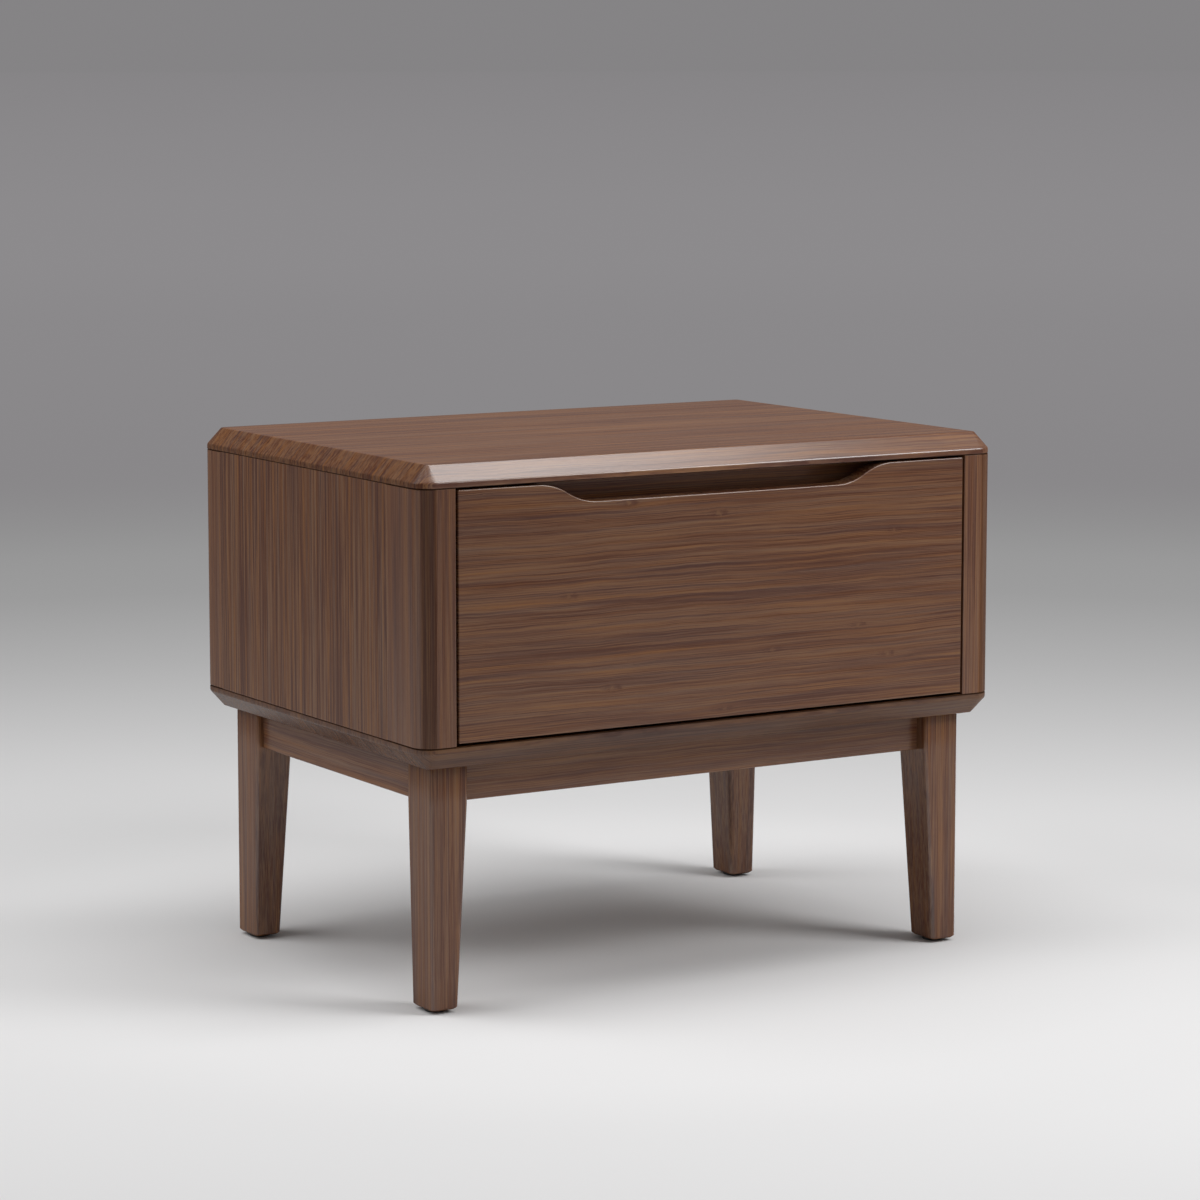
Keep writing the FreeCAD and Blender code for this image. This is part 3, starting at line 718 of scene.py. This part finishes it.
def screw_shape(tree, given):
    """A screw with a flat or domed head, a driver's cross, a helical thread and a point."""
    long, head, deep, shank = (given[key] for key in ("Length", "Head radius", "Head height", "Shank radius"))
    grid, row, turn = wound_grid(tree, given["Rows"], given["Sides"])

    def either(flat, domed):
        return flat * (1.0 - given["Domed head"]) + domed * given["Domed head"]

    # the rows of the head, from the middle of its face down to the shank
    lip = 0.12 * MM
    head_radii = [0.0, either(head * 0.6, head * 0.45), either(head - lip, head * 0.80), either(head, head * 0.96),
                  either(head * 0.5 + shank * 0.5, head), shank]
    head_drops = [0.0, either(0.0, deep * 0.04), either(0.0, deep * 0.22), either(lip, deep * 0.5),
                  either(deep * 0.5, deep), deep]
    # the rows of the shank, thinned by the thread's valley and by the point
    drop = deep + (long - deep) * ((row - HEAD_ROWS) / (given["Rows"] - (HEAD_ROWS + 1)))
    ridge = maths("PINGPONG", drop / given["Thread pitch"] - turn, 0.5)
    valley = spread(ridge, 0.0, 0.32, smooth=True) * given["Thread depth"]
    begun = spread(drop, deep + long * 0.12, deep + long * 0.18)
    body = (shank - valley * begun) * spread(drop, long - given["Point length"], long, 1.0, 0.0)
    at = maths("MINIMUM", row, HEAD_ROWS)
    shape = wound(grid, turn, pick(at, head_radii + [body]), pick(at, head_drops + [drop]))
    # the driver's cross
    recess, arm, sunk = given["Recess width"], shank * 2.0, deep * 1.1
    cross = (wire("GeometryNodeMeshCube", {"Size": vector(*size, sunk)}) for size in ((arm, recess), (recess, arm)))
    return set_out(given, cut_out(shape, *cross))


def dowel_shape(tree, given):
    """A dowel with flutes for the glue and a bevel at each end, centred on its point."""
    half = given["Length"] * 0.5
    grid, row, turn = wound_grid(tree, 6, given["Flutes"] * FLUTE_FACES)
    wave = maths("COSINE", turn * given["Flutes"] * math.tau)
    fluted = given["Radius"] - maths("MAXIMUM", wave, 0.0) * given["Flute depth"]
    ends, inner = given["Radius"] - given["Bevel"], half - given["Bevel"]
    radius = pick(row, [0.0, ends, fluted, fluted, ends, 0.0])
    return set_out(given, wound(grid, turn, radius, pick(row, [-half, -half, -inner, inner, half, half])))


def glide_shape(tree, given):
    """A glide: a disc with a rounded rim and sole, on a short stem."""
    radius, thick, stem, soft = (given[key] for key in ("Radius", "Thickness", "Stem radius", "Rounding"))
    top = thick + given["Stem length"]
    profile = (
        (0.0, 0.0), (radius - soft * 1.3, 0.0), (radius - soft, soft * 0.03), (radius - soft * 0.3, soft * 0.3),
        (radius, soft), (radius, thick - soft * 0.25), (radius - soft * 0.25, thick), (stem, thick),
        (stem, top - soft * 0.6), (stem - soft * 0.6, top), (0.0, top))
    grid, row, turn = wound_grid(tree, len(profile), GLIDE_SIDES)
    return set_out(given, wound(grid, turn, *(pick(row, list(values)) for values in zip(*profile))))


def ball_shape(tree, given):
    """A bearing ball at each point."""
    return set_out(given, wire("GeometryNodeMeshIcoSphere", {
        "Radius": given["Radius"], "Subdivisions": given["Fineness"]}))


def leg_shape(tree, given):
    """A leg in its own corner: straight at the aprons, then tapering on its two inner faces, with its
    mortises and the glide's hole."""
    steps, soft, ease = given["Corner steps"], given["Rounding"], given["Foot ease"]

    # rows: middle of the sole, sole, foot, those up the taper, knee, head, middle of the head
    rows = TAPER_ROWS + 6
    points = steps + 1.0
    grid, row, turn = wound_grid(tree, rows, points * 4.0)
    column = maths("ROUND", turn * (points * 4.0))
    quarter = maths("FLOOR", (column + 0.5) / points)
    angle = (quarter + (column - quarter * points) / steps) * QUARTER_TURN
    sole, knee, head = given["Foot height"], given["Knee height"], given["Head height"]
    foot = sole + ease
    taper = foot + (knee - foot) * ((row - 2.0) / (TAPER_ROWS + 1.0))
    height = pick(row, [sole, sole, foot] + [taper] * TAPER_ROWS + [knee, head, head])
    grown = spread(height, foot, knee)
    drawn_in = pick(row, [ease, ease] + [0.0] * (rows - 2))
    spoke = pick(row, [0.0] + [1.0] * (rows - 2) + [0.0])

    def outline(low, high, wave):
        """One side of the section, from the leg's outer face: its middle, its half and its rounded corner."""
        middle = (low + (high - low) * grown) * 0.5
        side = maths("SIGN", maths(wave, (quarter + 0.5) * QUARTER_TURN))
        edge = side * (middle - drawn_in - soft) + soft * maths(wave, angle)
        return middle + edge * spoke

    across = outline(given["Foot wide"], given["Top wide"], "COSINE")
    along = outline(given["Foot deep"], given["Top deep"], "SINE")
    shape = welded(moved(grid, vector(across, along, height)))

    def shifted(tool, place):
        return wire("GeometryNodeTransform", {"Geometry": tool, "Translation": place})

    drill = wire("GeometryNodeMeshCylinder", {
        "Vertices": DRILL_SIDES, "Radius": given["Hole radius"], "Depth": given["Hole top"] * 2.0}, output="Mesh")
    shape = cut_out(
        shape, *(shifted(wire("GeometryNodeMeshCube", {"Size": given[name + " size"]}), given[name])
                 for name in ("Front mortise", "Side mortise")),
        shifted(drill, vector(given["Foot wide"] * 0.5, given["Foot deep"] * 0.5, 0.0)))

    # out of its own corner and into its place, turned for its side of the object
    own = wires(tree, "GeometryNodeInputPosition")["Position"]
    place = vector_maths("MULTIPLY", own, vector(given["Turn X"], given["Turn Y"], 1.0))
    shape = moved(shape, vector_maths("ADD", place, given["Corner"]))
    mirrored = wire("FunctionNodeCompare", {0: given["Turn X"] * given["Turn Y"], 1: 0.0}, data_type="FLOAT",
                    operation="LESS_THAN")
    return wire("GeometryNodeFlipFaces", {"Mesh": shape, "Selection": mirrored})


SHAPES = {"cabinet_screw": screw_shape, "cabinet_dowel": dowel_shape, "cabinet_glide": glide_shape,
          "cabinet_ball": ball_shape, "tapered_leg": leg_shape}


def grow(name, nodes, kind, places, sizes, material, flats=False):
    """Runs a tree over a carrier of points with aims, and sets the mesh on its body in place of its nodes, which it
    hides.
    """
    mesh = bpy.data.meshes.new(name + "_points")
    mesh.from_pydata([place for place, aim in places], [], [])
    aims = mesh.attributes.new("aim", "FLOAT_VECTOR", "POINT")
    for entry, (place, aim) in zip(aims.data, places):
        entry.vector = aim
    maker = new_object(name + "_maker", mesh)
    modifier = maker.modifiers.new("grow", "NODES")
    modifier.node_group = grown_tree(kind, sizes)
    values = {**sizes, "Material": material}
    for item in modifier.node_group.interface.items_tree:
        if item.name in values:
            modifier[item.identifier] = values[item.name]
    if flats:
        keep_flats(maker)
    finish_piece(maker, name, nodes, material)


# Operators: one for each piece or group of like pieces

CORNERS = ("front_left", "front_right", "rear_left", "rear_right")
LEG_TONES = (0.91, 0.93, 0.96, 0.82)  # one for each corner; the rear right leg's low tone is painted shade
SHEET_EASING = 0.25 * MM  # the rounding on the runners' sheet steel
STEM_RADIUS = 2.5 * MM  # of a glide, and of the hole that it sits in
GLIDE_ROUNDING = 0.9 * MM
DOWEL_RADIUS = 3 * MM
LONGEST_POINT = 0.3  # the most of a short screw's length that its point takes
BALL_FINENESS = 3
LEG_CORNER_STEPS = 6  # faces round each long corner of a leg


class CABINET_OT_case_boards(bpy.types.Operator):
    """Makes the chamfered top and bottom boards"""
    bl_idname = "cabinet.case_boards"
    bl_label = "Top and bottom boards"

    def execute(self, context):
        # groove paints shade in the joint grooves below the top board and above the bottom board
        top = walnut("walnut_top", "flat_x", (0.11, 0.03, 0.2), tone=0.985, contrast=1.1, coat=1.25, waviness=0.35,
                     wear=0.10, groove="below")
        bottom = walnut("walnut_bottom", "flat_x", (0.57, 0.31, 0.4), tone=0.62, contrast=1.2, slope_coat=0.55,
                        waviness=0.3, thirst=0.0, groove="above")
        eased("top_panel", "top_board", top, level_joints=True)
        eased("bottom_panel", "bottom_board", bottom, level_joints=True)
        return {"FINISHED"}


class CABINET_OT_posts(bpy.types.Operator):
    """Makes the four corner posts"""
    bl_idname = "cabinet.posts"
    bl_label = "Corner posts"

    def execute(self, context):
        # painted light and shade: the right posts get a lighter tone and the left posts a darker one
        for i, node in enumerate(("front_post_left", "front_post_right", "rear_post_left", "rear_post_right")):
            # corner paints shade on each post's outer corner, and groove paints shade in its joint grooves
            material = walnut(
                "walnut_" + node, "standing_side", (0.31 * i + 0.2, 0.17 * i, 0.05 * i), depth=1.0, waviness=0.06,
                tone=0.88 if "left" in node else 0.98, coat=1.15, slope_coat=0.9, corner=0.26, groove="both")
            eased(node, node + "_board", material, level_joints=True)
        return {"FINISHED"}


class CABINET_OT_side_panels(bpy.types.Operator):
    """Makes the two side panels"""
    bl_idname = "cabinet.side_panels"
    bl_label = "Side panels"

    def execute(self, context):
        for i, side in enumerate(("left", "right")):
            # groove paints shade in the joint grooves above and below each side panel
            material = walnut(
                "walnut_side_" + side, "standing_side", (0.43 * i, 0.29 * i, 0.1), tone=0.82, contrast=2.2, coat=0.95,
                waviness=0.02, streak=1.0, groove="both")
            eased("side_panel_" + side, "side_board_" + side, material, level_joints=True)
        return {"FINISHED"}


class CABINET_OT_back_and_rail(bpy.types.Operator):
    """Makes the back panel and the rail behind the drawer front"""
    bl_idname = "cabinet.back_and_rail"
    bl_label = "Back panel and rail"

    def execute(self, context):
        stained = plywood("plywood_back", "standing_back", (0.2, 0.0, 0.0), (0.150, 0.085, 0.055),
                          (0.185, 0.105, 0.062), (0.105, 0.060, 0.042))
        eased("back_panel", "back_sheet", stained, context.scene.cabinet.boards.box_easing)
        # painted light: the rail's tone is raised to 2.6 so that it shows lit in the shade behind the pull
        eased("front_rail", "rail_board", walnut("walnut_rail", "upright_x", (0.7, 0.4, 0.0), tone=2.6))
        return {"FINISHED"}


class CABINET_OT_drawer_front(bpy.types.Operator):
    """Makes the drawer front with its scooped pull"""
    bl_idname = "cabinet.drawer_front"
    bl_label = "Drawer front"

    def execute(self, context):
        material = walnut("walnut_drawer_front", "upright_x", (0.37, 0.12, 0.05), tone=0.885, contrast=1.25,
                          waviness=0.45, marks=1.0)
        eased("drawer_front", "drawer_face", material)
        return {"FINISHED"}


class CABINET_OT_drawer_box(bpy.types.Operator):
    """Makes the drawer box: front, back, sides and bottom"""
    bl_idname = "cabinet.drawer_box"
    bl_label = "Drawer box"

    def execute(self, context):
        easing = context.scene.cabinet.boards.box_easing
        grains = {"drawer_box_front": "upright_x", "drawer_box_back": "upright_x", "drawer_side_left": "upright_y",
                  "drawer_side_right": "upright_y"}
        for i, (node, grain) in enumerate(grains.items()):
            material = hardwood("hardwood_" + node, grain, (0.3 * i, 0.2 * i, 0.1 * i))
            eased(node, node + "_board", material, easing)
        bare = plywood("plywood_drawer", "flat_x", (0.6, 0.2, 0.0), (0.50, 0.37, 0.235), (0.55, 0.40, 0.25),
                       (0.40, 0.28, 0.17))
        eased("drawer_bottom", "drawer_bottom_sheet", bare, easing)
        return {"FINISHED"}


class CABINET_OT_blocks(bpy.types.Operator):
    """Makes the corner blocks, the runner battens and the drawer stops with their pads"""
    bl_idname = "cabinet.blocks"
    bl_label = "Blocks, battens and stops"

    def execute(self, context):
        easing = context.scene.cabinet.boards.box_easing
        nodes = [("corner_block_" + corner, "standing_side") for corner in CORNERS]
        nodes += [("runner_batten_" + side, "upright_y") for side in ("left", "right")]
        nodes += [("drawer_stop_" + side, "upright_x") for side in ("left", "right")]
        for i, (node, grain) in enumerate(nodes):
            material = hardwood("hardwood_" + node, grain, (0.13 * i, 0.21 * i, 0.0))
            eased(node, node + "_wood", material, easing)
        rubber = moulded("pad_rubber_dark", (0.018, 0.018, 0.019), 0.72, 0.5 * MM, 0.5)
        eased("stop_pads", "stop_pad_pair", rubber, easing, easing)
        return {"FINISHED"}


class CABINET_OT_aprons(bpy.types.Operator):
    """Makes the four aprons between the legs"""
    bl_idname = "cabinet.aprons"
    bl_label = "Aprons"

    def execute(self, context):
        grains = {"front": "upright_x", "rear": "upright_x", "left": "upright_y", "right": "upright_y"}
        for i, (side, grain) in enumerate(grains.items()):
            material = walnut("walnut_apron_" + side, grain, (0.23 * i + 0.05, 0.07 * i, 0.02), waviness=0.4,
                              contrast=1.2, tone=0.92 if side == "front" else 0.97)
            eased("apron_" + side, "apron_board_" + side, material)
        return {"FINISHED"}


class CABINET_OT_legs(bpy.types.Operator):
    """Grows the four tapered legs"""
    bl_idname = "cabinet.legs"
    bl_label = "Tapered legs"

    def execute(self, context):
        given = context.scene.cabinet.legs
        for i, (corner, tone) in enumerate(zip(CORNERS, LEG_TONES)):
            material = walnut("walnut_leg_" + corner, "standing_side", (0.19 * i + 0.4, 0.27 * i, 0.11 * i), tone=tone,
                              contrast=1.5, coat=1.2, depth=1.0, waviness=0.15)
            low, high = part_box("leg_" + corner)
            turn_x, turn_y = (1.0 if "left" in corner else -1.0), (1.0 if "front" in corner else -1.0)
            outer = Vector((low.x if turn_x > 0 else high.x, low.y if turn_y > 0 else high.y, 0.0))
            across, along = (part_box("apron_" + side) for side in corner.split("_"))
            level = (across[0].z + across[1].z) / 2

            def own(x, y):
                return Vector(((x - outer.x) * turn_x, (y - outer.y) * turn_y, level))

            sizes = {
                "Top wide": given.top_wide, "Top deep": given.top_deep, "Foot wide": given.foot_wide,
                "Foot deep": given.foot_deep, "Foot height": low.z, "Knee height": across[0].z, "Head height": high.z,
                "Rounding": given.rounding, "Foot ease": given.foot_ease, "Corner steps": LEG_CORNER_STEPS,
                "Corner": outer, "Turn X": turn_x, "Turn Y": turn_y,
                "Front mortise": own(outer.x + turn_x * (given.top_wide - given.tenon_long / 2),
                                     (across[0].y + across[1].y) / 2),
                "Front mortise size": (given.tenon_long, given.tenon_thick, given.tenon_high),
                "Side mortise": own((along[0].x + along[1].x) / 2,
                                    outer.y + turn_y * (given.top_deep - given.tenon_long / 2)),
                "Side mortise size": (given.tenon_thick, given.tenon_long, given.tenon_high),
                "Hole radius": STEM_RADIUS, "Hole top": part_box("glide_" + corner)[1].z}
            grow("leg_post_" + corner, ["leg_" + corner], "tapered_leg", [(Vector(), UP)], sizes, material,
                 flats=True)
        return {"FINISHED"}


class CABINET_OT_runners(bpy.types.Operator):
    """Makes the members and ball cages of the two drawer runners"""
    bl_idname = "cabinet.runners"
    bl_label = "Drawer runners"

    def execute(self, context):
        zinc = metal("runner_zinc", (0.60, 0.61, 0.62), 0.34, 0.22, 0.10)
        for side in ("left", "right"):
            for member in ("fixed", "middle", "drawer"):
                eased("runner_%s_%s" % (member, side), "runner_rail_%s_%s" % (member, side), zinc,
                      SHEET_EASING, SHEET_EASING)
        for node in ("outer_ball_cages", "inner_ball_cages"):
            frame["nodes"][node].data.materials[0] = zinc
        polished = metal("ball_polished", (0.82, 0.82, 0.83), 0.10, 0.02, 0.0)
        for node in ("outer_balls", "inner_balls"):
            found = turned_solids(node)
            places = [(start + aim * size / 2, aim) for start, aim, size in found]
            grow(node.replace("_", "_bearing_"), [node], "cabinet_ball", places,
                 {"Radius": found[-1][2] / 2, "Fineness": BALL_FINENESS}, polished)
        return {"FINISHED"}


SCREWS = (  # node, piece, head radius, head height, shank radius, domed head
    ("base_screws", "corner_block_screws", 4.4 * MM, 2.2 * MM, 2.2 * MM, 0.0),
    ("batten_screws", "runner_batten_screws", 3.9 * MM, 2.2 * MM, 2.0 * MM, 0.0),
    ("runner_case_screws", "fixed_member_screws", 3.4 * MM, 1.8 * MM, 1.75 * MM, 0.0),
    ("runner_box_screws", "drawer_member_screws", 3.4 * MM, 1.8 * MM, 1.75 * MM, 0.0),
    ("drawer_front_screws", "front_pan_screws", 4.0 * MM, 2.6 * MM, 2.0 * MM, 1.0),
)


class CABINET_OT_screws(bpy.types.Operator):
    """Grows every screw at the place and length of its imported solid"""
    bl_idname = "cabinet.screws"
    bl_label = "Screws"

    def execute(self, context):
        given = context.scene.cabinet.fixings
        plated = metal("screw_plated", (0.58, 0.56, 0.50), 0.30, 0.1, 0.05)
        for node, piece, head, deep, shank, domed in SCREWS:
            found = turned_solids(node)
            long = found[0][2]
            sizes = {
                "Length": long, "Head radius": head, "Head height": deep, "Shank radius": shank, "Domed head": domed,
                "Thread pitch": given.thread_pitch, "Thread depth": given.thread_depth,
                "Point length": min(given.point, LONGEST_POINT * long), "Recess width": given.recess,
                "Sides": SCREW_SIDES, "Rows": HEAD_ROWS + 1 + int(TURN_ROWS * (long - deep) / given.thread_pitch)}
            places = [(start, aim) for start, aim, _ in found]
            grow(piece, [node], "cabinet_screw", places, sizes, plated, flats=True)
        return {"FINISHED"}


class CABINET_OT_dowels(bpy.types.Operator):
    """Grows the fluted dowels of the case"""
    bl_idname = "cabinet.dowels"
    bl_label = "Dowels"

    def execute(self, context):
        given = context.scene.cabinet.fixings
        bare = beech("dowel_beech_bare")
        found = turned_solids("case_dowels")
        for long in sorted({round(size, 4) for _, _, size in found}):
            places = [(start + aim * size / 2, aim) for start, aim, size in found if round(size, 4) == long]
            sizes = {"Length": long, "Radius": DOWEL_RADIUS, "Bevel": given.dowel_bevel,
                     "Flute depth": given.flute_depth, "Flutes": given.flutes}
            grow("case_dowels_%dmm" % round(long / MM), ["case_dowels"], "cabinet_dowel", places, sizes, bare)
        return {"FINISHED"}


class CABINET_OT_glides(bpy.types.Operator):
    """Grows the glide under each foot"""
    bl_idname = "cabinet.glides"
    bl_label = "Glides"

    def execute(self, context):
        black = moulded("glide_black", (0.012, 0.012, 0.012), 0.5, 0.6 * MM, 0.3)
        for corner in CORNERS:
            low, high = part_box("glide_" + corner)
            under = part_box("leg_" + corner)[0].z
            sizes = {"Radius": (high.x - low.x) / 2, "Thickness": under, "Stem radius": STEM_RADIUS,
                     "Stem length": high.z - under, "Rounding": GLIDE_ROUNDING}
            place = Vector(((low.x + high.x) / 2, (low.y + high.y) / 2, low.z))
            grow("foot_glide_" + corner, ["glide_" + corner], "cabinet_glide", [(place, UP)], sizes, black,
                 flats=True)
        return {"FINISHED"}


FLOOR_HALF = 300.0  # half the floor's width, far enough to reach the horizon
FLOOR_TONES = (  # how far off, in tens of metres, and the share of the near floor's colour there; painted light and shade, lighter close round the object and from 3 m off, darkest about 1.8 m off
    (0.04, 1.05), (0.055, 1.03), (0.068, 0.985), (0.09, 0.970), (0.13, 0.935), (0.18, 0.91), (0.25, 0.92),
    (0.30, 1.02), (0.38, 1.12))
FAR_TONES = (  # the nearness, 2 m over the distance, and the share of the far floor's colour there
    (0.012, 0.94), (0.05, 0.985), (0.10, 1.02), (0.16, 1.025), (0.22, 0.995), (0.4, 0.975))
FADE = (2.8, 4.5)  # metres off, from where to where the floor fades into the far grey
LIGHTS = (  # name, setting, place, width, height, and its turn where it hangs level instead of facing the object
    ("key_softbox", "key_power", (0.25, -0.32, 2.90), 3.0, 0.7, -27.0),
    ("side_softbox", "side_power", (-1.60, 0.75, 1.75), 1.6, 1.6, None),
    ("front_softbox", "front_power", (1.182, -1.408, 1.543), 0.8, 0.8, None))
EYE = (-1.87893, -3.09213, 0.82673)
LOOK_DOWN, LOOK_RIGHT = 7.0284, 31.352  # degrees from level, and from +Y
LENS, SHIFT = 116.227, -0.05


def ramp(along, stops):
    """A colour that changes along a value. Stops are pairs of a place and a colour."""
    node = add(along.tree, "ShaderNodeValToRGB", {0: along})
    marks = node.color_ramp.elements
    marks[0].position, marks[1].position = stops[0][0], stops[-1][0]
    for place, _ in stops[1:-1]:
        marks.new(place)
    for mark, (_, paint) in zip(marks, stops):
        mark.color = rgba(paint)
    return Wire(node.outputs[0])


def shares(paint, tones):
    return [(place, [part * share for part in paint]) for place, share in tones]


def seen_itself(tree):
    """1 for a ray from the camera or a mirroring or clear surface, 0 for one that gathers light."""
    ray = wires(tree, "ShaderNodeLightPath")
    return maths("ADD", ray["Is Camera Ray"], ray["Is Glossy Ray"] + ray["Is Transmission Ray"], clamp=True)


class CABINET_OT_stage(bpy.types.Operator):
    """Lays the pale floor, hangs the soft lights and sets the camera at the photograph's angle"""
    bl_idname = "cabinet.stage"
    bl_label = "Studio"

    def execute(self, context):
        scene = context.scene
        given = scene.cabinet.stage

        mesh = bpy.data.meshes.new("studio_floor")
        work = bmesh.new()
        bmesh.ops.create_grid(work, x_segments=8, y_segments=8, size=FLOOR_HALF)
        work.to_mesh(mesh)
        work.free()
        floor = new_object("studio_floor", mesh)
        material, tree, place = new_material("floor_paper")
        away = wire("ShaderNodeVectorMath", {0: place}, "Value", operation="LENGTH")
        # the floor's colour carries painted light and shade that change with the distance from the object
        paper = ramp(away / 10.0, shares(given.near_floor, FLOOR_TONES))
        # far behind, the paper fades into the backdrop's own grey for whatever sees it
        far = ramp(maths("DIVIDE", 2.0, away), [(0.0, given.backdrop)] + shares(given.far_floor, FAR_TONES))
        close_material(wire("ShaderNodeMixShader", {
            0: spread(away, *FADE, smooth=True) * seen_itself(tree), 1: wire("ShaderNodeBsdfDiffuse", {"Color": paper}),
            2: wire("ShaderNodeEmission", {"Color": far, "Strength": 1.0})}))
        mesh.materials.append(material)

        world = bpy.data.worlds.new("studio_room")
        scene.world = world
        world.use_nodes = True
        tree = world.node_tree
        tree.nodes.clear()
        room, backdrop = (
            Wire(add(tree, "ShaderNodeBackground", {"Color": rgba(paint), "Strength": strength}).outputs[0])
            for paint, strength in (((1.0, 1.0, 1.0), given.room_level), (given.backdrop, 1.0)))
        both = wire("ShaderNodeMixShader", {0: seen_itself(tree), 1: room, 2: backdrop})
        add(tree, "ShaderNodeOutputWorld", {"Surface": both})

        for name, setting, place, wide, tall, turn in LIGHTS:
            lamp = bpy.data.lights.new(name, "AREA")
            lamp.shape = "RECTANGLE"
            lamp.size = wide
            lamp.size_y = tall
            lamp.energy = getattr(given, setting)
            holder = new_object(name, lamp)
            holder.location = place
            if turn is None:
                holder.rotation_euler = Vector(place).to_track_quat("Z", "Y").to_euler()
            else:
                holder.rotation_euler = (0.0, 0.0, math.radians(turn))

        camera = bpy.data.cameras.new("photo_camera")
        camera.lens = LENS
        camera.sensor_width = 36.0
        camera.shift_y = SHIFT
        eye = new_object("photo_camera", camera)
        eye.location = EYE
        eye.rotation_euler = (math.radians(90.0 - LOOK_DOWN), 0.0, -math.radians(LOOK_RIGHT))
        scene.camera = eye
        scene.view_settings.view_transform = "Standard"
        return {"FINISHED"}


class CABINET_PT_panel(bpy.types.Panel):
    """Sizes, colours and steps of the bedside cabinet"""
    bl_idname = "CABINET_PT_panel"
    bl_label = "Bedside cabinet"
    bl_space_type = "VIEW_3D"
    bl_region_type = "UI"
    bl_category = "Cabinet"

    def draw(self, context):
        given = context.scene.cabinet
        for title, group in (("Boards", given.boards), ("Walnut", given.walnut), ("Legs", given.legs),
                             ("Fixings", given.fixings), ("Studio", given.stage)):
            box = self.layout.box()
            box.label(text=title)
            for key in group.__annotations__:
                box.prop(group, key)
        steps = self.layout.column()
        for step in STEPS:
            steps.operator(step.bl_idname)


STEPS = (
    CABINET_OT_case_boards, CABINET_OT_posts, CABINET_OT_side_panels, CABINET_OT_back_and_rail,
    CABINET_OT_drawer_front, CABINET_OT_drawer_box, CABINET_OT_blocks, CABINET_OT_aprons, CABINET_OT_legs,
    CABINET_OT_runners, CABINET_OT_screws, CABINET_OT_dowels, CABINET_OT_glides, CABINET_OT_stage,
)
CLASSES = (
    BoardSettings, WalnutSettings, LegSettings, FixingSettings, StageSettings, CabinetSettings, *STEPS,
    CABINET_PT_panel,
)


def register():
    for cls in CLASSES:
        bpy.utils.register_class(cls)
    bpy.types.Scene.cabinet = PointerProperty(type=CabinetSettings)


def unregister():
    del bpy.types.Scene.cabinet
    for cls in reversed(CLASSES):
        bpy.utils.unregister_class(cls)


def main():
    register()
    for step in STEPS:
        group, name = step.bl_idname.split(".")
        getattr(getattr(bpy.ops, group), name)()


if __name__ == "__main__":
    main()
